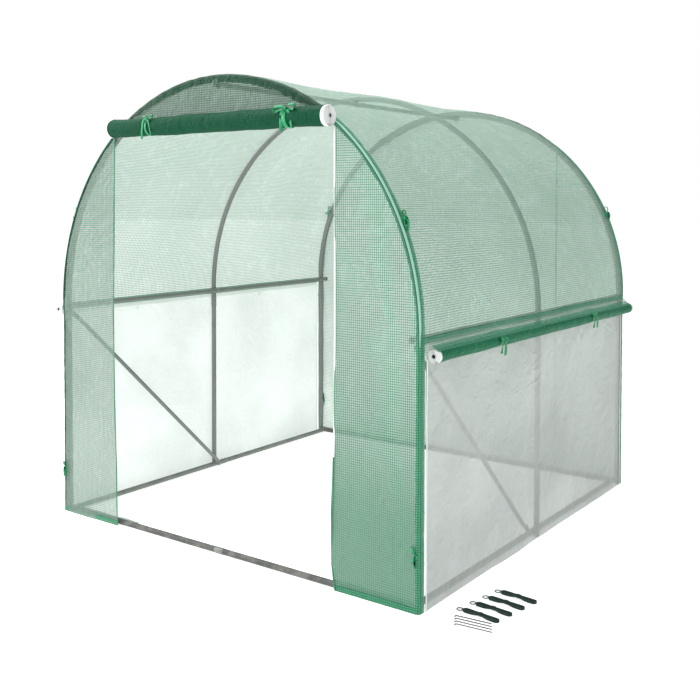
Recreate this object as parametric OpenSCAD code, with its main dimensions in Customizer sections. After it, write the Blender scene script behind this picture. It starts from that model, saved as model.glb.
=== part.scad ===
// Walk-in polytunnel: three steel hoops under a mesh-reinforced cover, with a roll-up door at the
// front, roll-up side curtains over clear side films, and a bundle of guy ropes and pegs beside it.
// The front faces -Y, +Z is up, and the origin is the middle of the whole footprint on the ground.

/* [Frame] */
// Distance between the centre lines of a hoop's two legs
hoop_width = 2000; // [1600:10:2400]
// Distance from the front hoop to the rear hoop
hoop_span = 2000; // [1600:10:2500]
// Height of the straight legs, up to the joint with the bent tube
leg_height = 970; // [800:5:1200]
// Straight length of the bent tube above that joint, before its half circle
hoop_straight = 50; // [20:1:120]
// Outer diameter of the hoop tube
hoop_d = 25; // [19:0.5:32]
// Outer diameter of the widened socket at a leg's top
socket_d = 28; // [26:0.5:36]
// Length of that socket
socket_length = 60; // [40:1:90]
// Outer diameter of the three long rails
rail_d = 22; // [16:0.5:28]
// Height of the side rails above the legs' tops
side_rail_rise = 30; // [28:1:80]
// Outer diameter of the rails that lie on the ground
ground_rail_d = 25; // [16:0.5:32]

/* [Braces] */
// Outer diameter of the diagonal braces
brace_d = 19; // [14:0.5:25]
// Height of the upper bolt above the front leg's top
brace_top_rise = 1; // [-20:1:3]
// Height of the lower bolt, on the ground rail beside the middle leg
brace_foot_z = 14; // [13:1:30]
// Thickness of a brace's flattened ends
brace_flat_t = 4; // [3:0.5:6]
// Width of a brace's flattened ends
brace_flat_w = 24; // [18:1:30]
// Length of the flattened stretch past the bolt
brace_flat_length = 42; // [30:1:70]

/* [Small fittings] */
// Diameter of a bolt's head
bolt_head_d = 11; // [8:0.5:14]
// Height of a bolt's head
bolt_head_h = 4; // [2:0.5:6]
// Diameter of the washer under it
washer_d = 15; // [12:0.5:20]
// Thickness of the washer
washer_t = 1.5; // [1:0.1:3]
// Diameter of the plastic caps on the ends of the rails
cap_d = 26; // [24:0.5:34]
// Thickness of those caps
cap_t = 7; // [4:0.5:10]

/* [Cover] */
// Thickness of the roof cover
cover_t = 2.5; // [1.5:0.1:5]
// Thickness of the front and rear panels
panel_t = 2; // [1.5:0.1:5]
// Distance from an end hoop's centre line to the inside of the panel on it
panel_offset = 24; // [22:0.5:40]
// Width of the doorway
door_width = 1260; // [900:10:1400]
// Width of the cover's border strip down each end leg
border_width = 42; // [30:1:90]
// Thickness of the clear side films
film_t = 2; // [1.5:0.1:4]
// Width of the hem flap that lies on the floor behind each front panel
flap_width = 58; // [40:1:120]
// How far that flap runs past the doorway's edge
flap_past_door = 60; // [0:1:150]
// Thickness of the hem flap
flap_t = 2; // [1:0.1:4]

/* [Rolls] */
// Outer diameter of the rolled-up door
door_roll_d = 82; // [70:1:110]
// How far the door roll reaches past the doorway's left edge
door_roll_left_past = -25; // [-60:1:60]
// How far the door roll reaches past the doorway's right edge
door_roll_right_past = 10; // [-60:1:60]
// Height of the door roll's axis above the front gable's lower edge
door_roll_rise = 11; // [0:1:40]
// Outer diameter of the rolled-up side curtains
curtain_roll_d = 52; // [44:1:80]
// Length of a side curtain
curtain_length = 2010; // [1400:10:2600]
// How far the right curtain's roll starts behind the front hoop
right_roll_start = 23; // [-60:1:100]
// How far the left curtain's roll starts behind the front hoop
left_roll_start = -28; // [-60:1:100]
// Drop of the right roll's axis below the legs' tops
right_roll_drop = 28; // [-30:1:60]
// Drop of the left roll's axis below the legs' tops
left_roll_drop = -10; // [-30:1:60]
// Outer diameter of the tube inside each roll
core_d = 20; // [14:0.5:30]
// Wall of that tube
core_wall = 2; // [1:0.1:4]
// How far the tube stands out of each end of a roll
core_past = 3; // [1:0.5:15]

/* [Ties] */
// Width of the ribbon that ties up a roll
ribbon_width = 14; // [8:1:25]
// Thickness of the ribbon
ribbon_t = 1.5; // [1:0.1:3]
// Length of a knot along its roll
knot_length = 34; // [20:1:50]
// Width and height of a knot
knot_width = 20; // [12:1:30]
// Place of the door roll's left tie, from the middle of the doorway
door_tie_left = -335; // [-500:5:-100]
// Place of the door roll's right tie, from the middle of the doorway
door_tie_right = 445; // [100:5:500]
// Distance of each curtain tie from the tunnel's middle hoop
curtain_tie_reach = 485; // [200:5:650]
// Angle of the door ties' knots, forward from the top of the roll
door_knot_tilt = 45; // [0:5:90]
// Angle of the curtain ties' knots, up from the outer side of the roll
curtain_knot_lift = 20; // [-30:5:60]
// Angle of the upper hoop ties above the arch's start
hoop_tie_angle = 24.5; // [10:0.5:60]
// Height of the lower hoop ties
hoop_tie_z = 215; // [80:5:600]
// Length of a hoop tie's knot along the hoop
hoop_knot_length = 26; // [15:1:40]
// Size of that knot across the hoop
hoop_knot_width = 18; // [10:1:28]

/* [Guy ropes and pegs] */
// Length of a folded hank of rope
hank_length = 156; // [110:1:200]
// Width of a hank
hank_width = 28; // [20:1:45]
// Height of a hank
hank_height = 16; // [12:1:30]
// Outer diameter of the ring on each rope
ring_d = 27; // [18:1:34]
// Thickness of the ring's round bar
ring_bar_d = 4; // [3:0.5:6]
// Distance of the first ring from the tunnel's right legs
ring_x = 108; // [95:1:300]
// Step from one hank to the next, along the tunnel
hank_step_y = 76; // [50:1:120]
// Step from one hank to the next, away from the tunnel
hank_step_x = 13; // [0:1:30]
// Distance of the first hank behind the front hoop
hank_start = 111; // [100:1:300]
// Turn of the hanks from straight across the tunnel
hank_turn = -5.5; // [-15:0.5:15]
// Thickness of a peg's wire
peg_d = 4; // [3:0.5:6]
// Length of a peg
peg_length = 138; // [100:1:200]
// Step from one peg to the next
peg_step = 20; // [19:1:40]
// Distance of the pegs' first hook from the tunnel's right legs
peg_x = 123; // [95:1:300]
// Step from one hook to the next, away from the tunnel
peg_step_x = 11; // [0:1:20]
// Distance of the first peg behind the front hoop
peg_start = 54; // [40:1:60]
// Turn of the pegs from straight across the tunnel
peg_turn = 6; // [0:1:10]
// Radius of the bend of a peg's hook
peg_hook_r = 5; // [3.5:0.5:6]
// Length of the hook's straight tip
peg_tip = 6; // [3:1:6]

/* [Hidden] */
// Gap left between neighbours that rest on each other
seat = 0.3;
// The lower end of a brace leans a little, so it stands this far off the ground rail.
brace_seat = 0.6;
// A bolt head's top against its base, and the two shapes of a knot against its full size
bolt_taper = 0.8;
knot_block = 0.7;
knot_drum = 0.6;
// Smoothness of small round shapes and of the big arcs
$fn = 48;
arc_fn = 180;

arch_r = hoop_width / 2;
arch_z = leg_height + hoop_straight;
cover_r_in = arch_r + max(socket_d, hoop_d) / 2 + seat;
cover_r_out = cover_r_in + cover_t;
// A roll hangs off the sheet behind it by its tie's ribbon.
roll_gap = ribbon_t + 2 * seat;
door_half = door_width / 2;
// The front gable starts where the door's edges run into the arch.
gable_z = arch_z + sqrt(pow(cover_r_out, 2) - pow(door_half, 2));

// The whole footprint, door roll in front and curtain rolls behind, is centred on the origin.
front_reach = panel_offset + panel_t + roll_gap + door_roll_d;
rear_reach = max(
    panel_offset + panel_t,
    max(right_roll_start, left_roll_start) + curtain_length + core_past - hoop_span
);
front_y = -hoop_span / 2 + (front_reach - rear_reach) / 2;
middle_y = front_y + hoop_span / 2;
rear_y = front_y + hoop_span;
hoop_ys = [front_y, middle_y, rear_y];
cover_front_y = front_y - panel_offset;
cover_rear_y = rear_y + panel_offset;

side_rail_z = leg_height + side_rail_rise;
side_rail_x = arch_r - hoop_d / 2 - seat - rail_d / 2;
ridge_rail_z = arch_z + arch_r - hoop_d / 2 - seat - rail_d / 2;
rail_past_hoop = panel_offset - seat - cap_t;
ground_rail_x = arch_r - hoop_d / 2 - seat - ground_rail_d / 2;

// A brace runs from the inner side of the front leg to the inner side of the ground rail.
brace_top_x = arch_r - max(socket_d, hoop_d) / 2 - seat - brace_d / 2;
brace_foot_x = ground_rail_x - ground_rail_d / 2 - brace_seat - brace_d / 2;
brace_lean = brace_top_x - brace_foot_x;
brace_rise = leg_height + brace_top_rise - brace_foot_z;
brace_run = middle_y - front_y;
brace_length = norm([brace_lean, brace_run, brace_rise]);

door_roll_r = door_roll_d / 2;
door_roll_y = cover_front_y - panel_t - roll_gap - door_roll_r;
door_roll_z = gable_z + door_roll_rise;
door_roll_start = -door_half - door_roll_left_past;
door_roll_length = door_width + door_roll_left_past + door_roll_right_past;
curtain_roll_r = curtain_roll_d / 2;
curtain_roll_x = cover_r_out + roll_gap + curtain_roll_r;

hank_end_r = hank_width / 2;
ring_r = ring_d / 2;

tube_grey = [0.42, 0.44, 0.43];
mesh_green = [0.62, 0.79, 0.70];
roll_green = [0.16, 0.45, 0.31];
ribbon_green = [0.06, 0.55, 0.34];
film_white = [0.86, 0.88, 0.87];
trim_white = [0.93, 0.94, 0.93];
cap_green = [0.05, 0.30, 0.20];
rope_green = [0.04, 0.16, 0.12];
wire_grey = [0.70, 0.71, 0.72];

// ---- steel frame -------------------------------------------------------------------------------

// One straight leg with its widened socket on top.
module leg(side, y) {
    color(tube_grey) translate([side * arch_r, y, 0]) {
        cylinder(d = hoop_d, h = leg_height);
        translate([0, 0, leg_height - socket_length]) cylinder(d = socket_d, h = socket_length);
    }
}

// The bent tube that stands in two legs: a half circle with a short straight length on each side.
module arch(y) {
    color(tube_grey) {
        translate([0, y, arch_z]) rotate([90, 0, 0])
            rotate_extrude(angle = 180, $fn = arc_fn) translate([arch_r, 0]) circle(d = hoop_d);
        for (side = [-1, 1]) translate([side * arch_r, y, leg_height])
            cylinder(d = hoop_d, h = hoop_straight);
    }
}

// A round bar along Y, from one end to the other.
module bar_y(x, z, d, start, end) {
    translate([x, end, z]) rotate([90, 0, 0]) cylinder(d = d, h = end - start);
}

// A long rail inside the hoops, past both end hoops.
module long_rail(x, z) {
    color(tube_grey) bar_y(x, z, rail_d, front_y - rail_past_hoop, rear_y + rail_past_hoop);
}

// A rail on the ground beside the legs.
module side_ground_rail(side) {
    color(tube_grey) bar_y(side * ground_rail_x, ground_rail_d / 2, ground_rail_d,
        front_y - hoop_d / 2, rear_y + hoop_d / 2);
}

// A rail on the ground across the tunnel, between the two side ground rails.
module cross_ground_rail(y) {
    half = ground_rail_x - ground_rail_d / 2 - seat;
    color(tube_grey) translate([-half, y, ground_rail_d / 2]) rotate([0, 90, 0])
        cylinder(d = ground_rail_d, h = 2 * half);
}

// One flattened end of a brace: a plate round the bolt's place, along the brace's own Z.
module brace_flat(side) {
    plate_x = side * (brace_d - brace_flat_t) / 2;
    translate([plate_x - brace_flat_t / 2, -brace_flat_w / 2, 0])
        cube([brace_flat_t, brace_flat_w, brace_flat_length]);
    translate([plate_x - brace_flat_t / 2, 0, 0]) rotate([0, 90, 0])
        cylinder(d = brace_flat_w, h = brace_flat_t);
}

// Puts what stands along Z from the origin along one side's brace, from its foot up to its top.
module at_brace(side) {
    translate([side * brace_foot_x, middle_y, brace_foot_z])
        rotate([asin(brace_run / brace_length), side * atan(brace_lean / brace_rise), 0]) children();
}

// The diagonal from the front leg's top down to the ground rail beside the middle leg.
module brace(side) {
    color(tube_grey) at_brace(side) {
        translate([0, 0, brace_flat_length]) cylinder(d = brace_d, h = brace_length - 2 * brace_flat_length);
        brace_flat(side);
        translate([0, 0, brace_length]) mirror([0, 0, 1]) brace_flat(side);
    }
}

// A washer with a bolt's head on it, standing up along Z.
module bolt_head() {
    cylinder(d = washer_d, h = washer_t);
    translate([0, 0, washer_t]) cylinder(d1 = bolt_head_d, d2 = bolt_head_d * bolt_taper, h = bolt_head_h);
}

// The bolt heads inside the tunnel, where rails cross hoops and where braces are fixed.
module frame_bolts() {
    color(tube_grey) {
        for (y = hoop_ys) {
            translate([0, y, ridge_rail_z - rail_d / 2 - seat]) mirror([0, 0, 1]) bolt_head();
            for (side = [-1, 1])
                translate([side * (side_rail_x - rail_d / 2 - seat), y, side_rail_z])
                    rotate([0, -90 * side, 0]) bolt_head();
        }
        for (side = [-1, 1], along = [0, brace_length])
            at_brace(side) translate([side * (brace_d / 2 - brace_flat_t), 0, along])
                rotate([0, -90 * side, 0]) bolt_head();
    }
}

// One plastic cap with a softened rim, standing up along Z.
module end_cap() {
    rim = cap_t / 3;
    cylinder(d = cap_d, h = cap_t - rim);
    translate([0, 0, cap_t - rim]) cylinder(d1 = cap_d, d2 = cap_d - 2 * rim, h = rim);
}

// The caps on both ends of the ridge rail and of the two side rails.
module rail_end_caps() {
    color(cap_green)
        for (at = [[-side_rail_x, side_rail_z], [side_rail_x, side_rail_z], [0, ridge_rail_z]]) {
            translate([at[0], front_y - rail_past_hoop, at[1]]) rotate([90, 0, 0]) end_cap();
            translate([at[0], rear_y + rail_past_hoop, at[1]]) rotate([-90, 0, 0]) end_cap();
        }
}

// ---- cover -------------------------------------------------------------------------------------

// Where a side's roll hangs, with the cover's edge behind it: side is -1 for left and 1 for right.
function roll_z(side) = leg_height - (side > 0 ? right_roll_drop : left_roll_drop);

// The sheet over one bay: a half pipe with straight edges below it, down to the curtain rolls.
module roof_bay(start, end) {
    translate([0, end, arch_z]) rotate([90, 0, 0])
        rotate_extrude(angle = 180, $fn = arc_fn) translate([cover_r_in, 0])
            square([cover_t, end - start]);
    for (side = [-1, 1])
        wall_strip(side, cover_r_in, cover_t, start, end, roll_z(side), arch_z);
}

// A thin upright slab beside the hoops, on the given side.
module wall_strip(side, x, t, start, end, low, high) {
    translate([side > 0 ? x : -x - t, start, low]) cube([t, end - start, high - low]);
}

// The front bay's sheet, with its border strips down the front legs.
module roof_cover_front_bay() {
    color(mesh_green) {
        roof_bay(cover_front_y, middle_y);
        for (side = [-1, 1])
            wall_strip(side, cover_r_in, cover_t, cover_front_y, cover_front_y + border_width,
                0, roll_z(side));
    }
}

// The rear bay's sheet, with its border strips down the rear legs.
module roof_cover_rear_bay() {
    color(mesh_green) {
        roof_bay(middle_y, cover_rear_y);
        for (side = [-1, 1])
            wall_strip(side, cover_r_in, cover_t, cover_rear_y - border_width, cover_rear_y,
                0, roll_z(side));
    }
}

// The tunnel's end outline, cut to a range across and a range up, as a slab whose far side is at y.
module end_slab(y, left, right, low, high) {
    translate([0, y, 0]) rotate([90, 0, 0]) linear_extrude(height = panel_t) intersection() {
        union() {
            translate([-cover_r_out, 0]) square([2 * cover_r_out, arch_z]);
            translate([0, arch_z]) circle(r = cover_r_out, $fn = arc_fn);
        }
        translate([left, low]) square([right - left, high - low]);
    }
}

// One end panel beside the doorway: side is -1 for left and 1 for right.
module end_panel(side, y) {
    color(mesh_green) end_slab(y, side > 0 ? door_half : -cover_r_out, side > 0 ? cover_r_out : -door_half,
        0, gable_z);
}

// A front panel with the hem flap that is turned in under the front ground rail.
module front_panel(side) {
    end_panel(side, cover_front_y);
    rail_r = ground_rail_d / 2;
    flap_start = front_y + sqrt(pow(rail_r, 2) - pow(rail_r - flap_t, 2)) + seat;
    flap_in = door_half - flap_past_door;
    flap_out = ground_rail_x - rail_r - seat;
    color(mesh_green) translate([side > 0 ? flap_in : -flap_out, flap_start, 0])
        cube([flap_out - flap_in, flap_width, flap_t]);
}

// The segment above the doorway at one end.
module gable(y) {
    color(mesh_green) end_slab(y, -cover_r_out, cover_r_out, gable_z, arch_z + cover_r_out);
}

// The closed rear door, zipped to the panels beside it.
module rear_door() {
    color(mesh_green) end_slab(cover_rear_y + panel_t, -door_half, door_half, 0, gable_z);
}

// The clear film below a curtain roll, between the border strips.
module side_film(side) {
    color(film_white) wall_strip(side, cover_r_in, film_t, cover_front_y + border_width + seat,
        cover_rear_y - border_width - seat, 0, roll_z(side) - seat);
}

// ---- rolls -------------------------------------------------------------------------------------

// A rolled sheet along Z, hollow round its core.
module sheet_roll(d, length) {
    difference() {
        cylinder(d = d, h = length);
        translate([0, 0, -1]) cylinder(d = core_d + 2 * seat, h = length + 2);
    }
}

// The plastic tube inside a roll, along Z, which stands out at both ends.
module roll_core(length) {
    translate([0, 0, -core_past]) difference() {
        cylinder(d = core_d, h = length + 2 * core_past);
        translate([0, 0, -1]) cylinder(d = core_d - 2 * core_wall, h = length + 2 * core_past + 2);
    }
}

// Puts what stands along Z into the place of the rolled-up door.
module at_door_roll() {
    translate([door_roll_start, door_roll_y, door_roll_z]) rotate([0, 90, 0]) children();
}

// Where a curtain's roll starts: side is -1 for left and 1 for right.
function curtain_start(side) = front_y + (side > 0 ? right_roll_start : left_roll_start);

// Puts what stands along Z into the place of one side's curtain roll.
module at_curtain_roll(side) {
    translate([side * curtain_roll_x, curtain_start(side), roll_z(side)]) rotate([-90, 0, 0]) children();
}

// ---- ties --------------------------------------------------------------------------------------

// A rounded block, centred, its length along Z, as the outer shape of a knotted ribbon.
module knot(length, width) {
    cube([width * knot_block, width * knot_block, length], center = true);
    cylinder(d = width, h = length * knot_drum, center = true);
}

// A ribbon round a roll that lies along Z, with its knot on the side the angle says.
module roll_tie(d, z, angle) {
    r = d / 2 + seat;
    knot_half = asin((knot_width / 2 + seat) / r);
    translate([0, 0, z]) rotate([0, 0, angle]) {
        rotate([0, 0, knot_half]) rotate_extrude(angle = 360 - 2 * knot_half)
            translate([r, -ribbon_width / 2]) square([ribbon_t, ribbon_width]);
        translate([r + knot_width / 2, 0, 0]) knot(knot_length, knot_width);
    }
}

// The two ties of the door roll and the two of each side curtain.
module roll_ties() {
    color(ribbon_green) {
        for (x = [door_tie_left, door_tie_right])
            at_door_roll() roll_tie(door_roll_d, x - door_roll_start, 180 + door_knot_tilt);
        for (side = [-1, 1], reach = [-1, 1])
            at_curtain_roll(side) roll_tie(curtain_roll_d,
                middle_y + reach * curtain_tie_reach - curtain_start(side),
                side > 0 ? -curtain_knot_lift : 180 + curtain_knot_lift);
    }
}

// The knots that hold the cover to the end hoops, outside the cover.
module hoop_ties() {
    knot_r = cover_r_out + seat + hoop_knot_width / 2;
    color(ribbon_green) for (y = [front_y, rear_y], side = [-1, 1]) {
        translate([side * knot_r, y, hoop_tie_z]) knot(hoop_knot_length, hoop_knot_width);
        translate([side * knot_r * cos(hoop_tie_angle), y, arch_z + knot_r * sin(hoop_tie_angle)])
            rotate([0, -side * hoop_tie_angle, 0]) knot(hoop_knot_length, hoop_knot_width);
    }
}

// ---- guy ropes and pegs ------------------------------------------------------------------------

function ring_place(i) = [arch_r + ring_x + i * hank_step_x, front_y + hank_start + i * hank_step_y];

// One folded hank of rope on the ground, pointing away from its ring.
module hank(i) {
    color(rope_green) translate([ring_place(i)[0], ring_place(i)[1], 0]) rotate([0, 0, hank_turn])
        translate([ring_r + seat, 0, 0]) linear_extrude(height = hank_height) {
            for (x = [hank_end_r, hank_length - hank_end_r]) translate([x, 0]) circle(r = hank_end_r);
            translate([hank_end_r, -hank_end_r]) square([hank_length - hank_width, hank_width]);
        }
}

// The four rings, flat on the ground.
module guy_rope_rings() {
    color(rope_green) for (i = [0:3]) translate([ring_place(i)[0], ring_place(i)[1], ring_bar_d / 2])
        rotate_extrude() translate([ring_r - ring_bar_d / 2, 0]) circle(d = ring_bar_d);
}

// One wire peg along X, flat on the ground, with its near end bent round to a short hook.
module peg() {
    translate([peg_hook_r, 0, 0]) rotate([0, 90, 0]) cylinder(d = peg_d, h = peg_length - peg_hook_r);
    translate([peg_hook_r, -peg_hook_r, 0]) rotate([0, 0, 90])
        rotate_extrude(angle = 90) translate([peg_hook_r, 0]) circle(d = peg_d);
    translate([0, -peg_hook_r, 0]) rotate([90, 0, 0]) cylinder(d = peg_d, h = peg_tip);
}

// The four pegs side by side.
module ground_pegs() {
    color(wire_grey) for (i = [0:3])
        translate([arch_r + peg_x + i * peg_step_x, front_y + peg_start - i * peg_step, peg_d / 2])
            rotate([0, 0, peg_turn]) peg();
}

// ---- the nodes ---------------------------------------------------------------------------------

leg(-1, front_y);  // front_left_leg
leg(1, front_y);  // front_right_leg
leg(-1, middle_y);  // middle_left_leg
leg(1, middle_y);  // middle_right_leg
leg(-1, rear_y);  // rear_left_leg
leg(1, rear_y);  // rear_right_leg
arch(front_y);  // front_arch
arch(middle_y);  // middle_arch
arch(rear_y);  // rear_arch
long_rail(0, ridge_rail_z);  // ridge_rail
long_rail(-side_rail_x, side_rail_z);  // left_side_rail
long_rail(side_rail_x, side_rail_z);  // right_side_rail
side_ground_rail(-1);  // left_ground_rail
side_ground_rail(1);  // right_ground_rail
cross_ground_rail(front_y);  // front_ground_rail
cross_ground_rail(rear_y);  // rear_ground_rail
brace(-1);  // left_brace
brace(1);  // right_brace
frame_bolts();
rail_end_caps();
roof_cover_front_bay();
roof_cover_rear_bay();
front_panel(-1);  // front_left_panel
front_panel(1);  // front_right_panel
gable(cover_front_y);  // front_gable
end_panel(-1, cover_rear_y + panel_t);  // rear_left_panel
end_panel(1, cover_rear_y + panel_t);  // rear_right_panel
rear_door();
gable(cover_rear_y + panel_t);  // rear_gable
side_film(-1);  // left_side_film
side_film(1);  // right_side_film
color(roll_green) at_door_roll() sheet_roll(door_roll_d, door_roll_length);  // door_roll
color(roll_green) at_curtain_roll(-1) sheet_roll(curtain_roll_d, curtain_length);  // left_curtain_roll
color(roll_green) at_curtain_roll(1) sheet_roll(curtain_roll_d, curtain_length);  // right_curtain_roll
color(trim_white) at_door_roll() roll_core(door_roll_length);  // door_roll_core
color(trim_white) at_curtain_roll(-1) roll_core(curtain_length);  // left_curtain_core
color(trim_white) at_curtain_roll(1) roll_core(curtain_length);  // right_curtain_core
roll_ties();
hoop_ties();
hank(0);  // guy_rope_1
hank(1);  // guy_rope_2
hank(2);  // guy_rope_3
hank(3);  // guy_rope_4
guy_rope_rings();
ground_pegs();
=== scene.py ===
"""Detailed covers, rolls, ties, ropes and finishes for a walk-in polytunnel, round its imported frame.

The front faces -Y, +Z is up, and every length is in metres. Each operator makes one group of pieces.
"""

import math

import bmesh
import bpy
import numpy as np
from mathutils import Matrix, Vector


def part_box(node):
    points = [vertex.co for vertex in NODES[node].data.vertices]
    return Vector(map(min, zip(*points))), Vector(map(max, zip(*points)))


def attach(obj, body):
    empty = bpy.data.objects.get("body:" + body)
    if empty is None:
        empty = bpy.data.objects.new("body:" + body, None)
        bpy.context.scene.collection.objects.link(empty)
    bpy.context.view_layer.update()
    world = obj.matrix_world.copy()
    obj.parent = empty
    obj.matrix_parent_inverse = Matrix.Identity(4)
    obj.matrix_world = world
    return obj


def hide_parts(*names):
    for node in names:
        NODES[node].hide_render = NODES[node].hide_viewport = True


bl_info = {
    "name": "Walk-in polytunnel",
    "version": (1, 0, 0),
    "blender": (4, 5, 0),
    "location": "View3D > Sidebar > Polytunnel",
    "description": "Makes the covers, rolls, ties, ropes and finishes of a walk-in polytunnel",
    "category": "Object",
}

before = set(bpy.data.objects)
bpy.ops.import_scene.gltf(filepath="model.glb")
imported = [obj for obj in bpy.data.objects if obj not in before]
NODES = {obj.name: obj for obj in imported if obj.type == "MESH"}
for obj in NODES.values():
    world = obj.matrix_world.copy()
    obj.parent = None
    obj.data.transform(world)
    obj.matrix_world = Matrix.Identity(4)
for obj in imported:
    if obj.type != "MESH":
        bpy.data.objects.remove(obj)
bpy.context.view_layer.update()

# ---- measures of the frame ----------------------------------------------------------------------


def middle_of(node):
    """The middle of a node's box."""
    low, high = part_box(node)
    return np.array((low + high) / 2)


def size_of(node):
    """The three sides of a node's box."""
    low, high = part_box(node)
    return np.array(high - low)


TUBE_D = size_of("front_arch")[1]
HOOP_R = (size_of("front_arch")[0] - TUBE_D) / 2
ARCH_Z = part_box("front_arch")[1].z - HOOP_R - TUBE_D / 2
HOOP_Y = [middle_of(n)[1] for n in ("front_arch", "middle_arch", "rear_arch")]
SHEET_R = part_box("roof_cover_front_bay")[1].x - 0.0012
FRONT_Y = middle_of("front_gable")[1]
REAR_Y = middle_of("rear_gable")[1]
DOOR_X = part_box("rear_door")[1].x
GABLE_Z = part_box("front_gable")[0].z
RAIL_Z = middle_of("right_side_rail")[2]
CAP_PLACES = ((middle_of("left_side_rail")[0], RAIL_Z), (middle_of("right_side_rail")[0], RAIL_Z),
              (0.0, middle_of("ridge_rail")[2]))
ROLL_Z = {-1: middle_of("left_curtain_roll")[2], 1: middle_of("right_curtain_roll")[2]}
EDGE_R = 0.011  # the rounded corner between the roof sheet and an end's sheet
OUTLINE_R = SHEET_R - EDGE_R
BORDER = 0.042  # the roof sheet's strip down each end leg
QUARTER = math.pi / 2
CORNER = EDGE_R * QUARTER
SHELL_LENGTH = REAR_Y - FRONT_Y - 2 * EDGE_R + 2 * CORNER
DOOR_TOP = ARCH_Z + math.sqrt(OUTLINE_R**2 - DOOR_X**2)
TIE_TURN = math.radians(24.5)  # the upper hoop ties' angle above the straight wall
TIE_REACH = 0.485  # from the middle hoop to each tie of a curtain
INWARD = -0.0010  # how far an end's sheet may sink towards its hoop
# painted shade: how fast red, green and blue darken towards the ground on a sheet with depth
LOW_SHADE_FADE = (1.25, 1.05, 1.15)  # how fast red, green and blue fade towards the ground

# ---- settings -----------------------------------------------------------------------------------


def srgb(r, g, b):
    """Turns a colour in 0 to 255 steps into the linear light that the shaders take."""
    c = np.array((r, g, b), float) / 255
    return tuple(float(v) for v in np.where(c <= 0.04045, c / 12.92, ((c + 0.055) / 1.055) ** 2.4))


def length_setting(name, text, value, low=0.0001, high=0.5):
    return bpy.props.FloatProperty(
        name=name, description=text, default=value, min=low, max=high, unit="LENGTH", precision=4)


def colour_setting(name, text, value):
    return bpy.props.FloatVectorProperty(
        name=name, description=text, default=srgb(*value), size=3, min=0, max=1, subtype="COLOR")


class TunnelSizes(bpy.types.PropertyGroup):
    grid_pitch: length_setting("Grid pitch", "Distance between the cover's threads", 0.0093)
    roof_sag: length_setting("Roof sag", "How far the roof sheet sinks between two hoops", 0.010)
    wrinkle: length_setting("Wrinkles", "Height of the soft waves in the hanging sheets", 0.003)
    crease: length_setting("Creases", "Height of the sharp folds left from packing", 0.0032)
    hem: length_setting("Hem width", "Width of the green hem along an arch", 0.019)
    tape: length_setting("Tape width", "Width of the white tape along an edge", 0.011)
    door_layer: length_setting("Door roll layer", "Distance between two turns of the door roll", 0.0029)
    curtain_layer: length_setting("Curtain roll layer", "Distance between two turns of a curtain", 0.0021)
    ribbon: length_setting("Ribbon width", "Width of the ribbon that ties a roll", 0.017)
    rope: length_setting("Rope thickness", "Diameter of a guy rope", 0.003)


class TunnelColours(bpy.types.PropertyGroup):
    thread: colour_setting("Cover threads", "Colour of the cover's threads", (34, 112, 76))
    cell: colour_setting("Cover cells", "Colour of the film between the threads", (206, 232, 219))
    hem: colour_setting("Hem", "Colour of the green hems", (14, 108, 70))
    roll: colour_setting("Rolled cover", "Colour of the rolled-up sheets", (8, 84, 56))
    film: colour_setting("Side film", "Colour of the clear side films", (180, 187, 183))
    tape: colour_setting("Tape", "Colour of the white tapes", (236, 240, 238))
    ribbon: colour_setting("Ribbon", "Colour of the tie ribbons", (14, 140, 86))
    rope: colour_setting("Rope", "Colour of the guy ropes", (14, 48, 38))
    tube: colour_setting("Tube", "Colour of the painted tubes", (118, 122, 119))


def sizes():
    return bpy.context.scene.tunnel_sizes


def colours():
    return bpy.context.scene.tunnel_colours


def rgba(colour):
    return (*colour, 1.0)


def times(colour, *shares):
    """A colour with its three parts scaled by one share, or by one share each."""
    return [c * k for c, k in zip(colour, shares * 3 if len(shares) == 1 else shares)]


# ---- surfaces -----------------------------------------------------------------------------------


def patch(at, uv, keep=None, flip=False, paint=0):
    """A grid of points with its flat coordinates; keep picks its faces, paint is their material."""
    return {"at": at, "uv": uv, "keep": keep, "flip": flip, "paint": paint}


def together(*parts):
    """Single coordinates joined into one array of points."""
    return np.stack(np.broadcast_arrays(*parts), axis=-1)


def middles(grid):
    """The value of a grid at the middle of each face."""
    return (grid[:-1, :-1] + grid[1:, 1:]) / 2


def kept_faces(p):
    """The kept faces of a patch, each as its four corners in order, and which faces they are."""
    grid = np.arange(p["at"].shape[0] * p["at"].shape[1]).reshape(p["at"].shape[:2])
    quads = np.stack([grid[:-1, :-1], grid[1:, :-1], grid[1:, 1:], grid[:-1, 1:]], axis=2).reshape(-1, 4)
    keep = slice(None) if p["keep"] is None else p["keep"].reshape(-1)
    return quads[keep], keep


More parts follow.
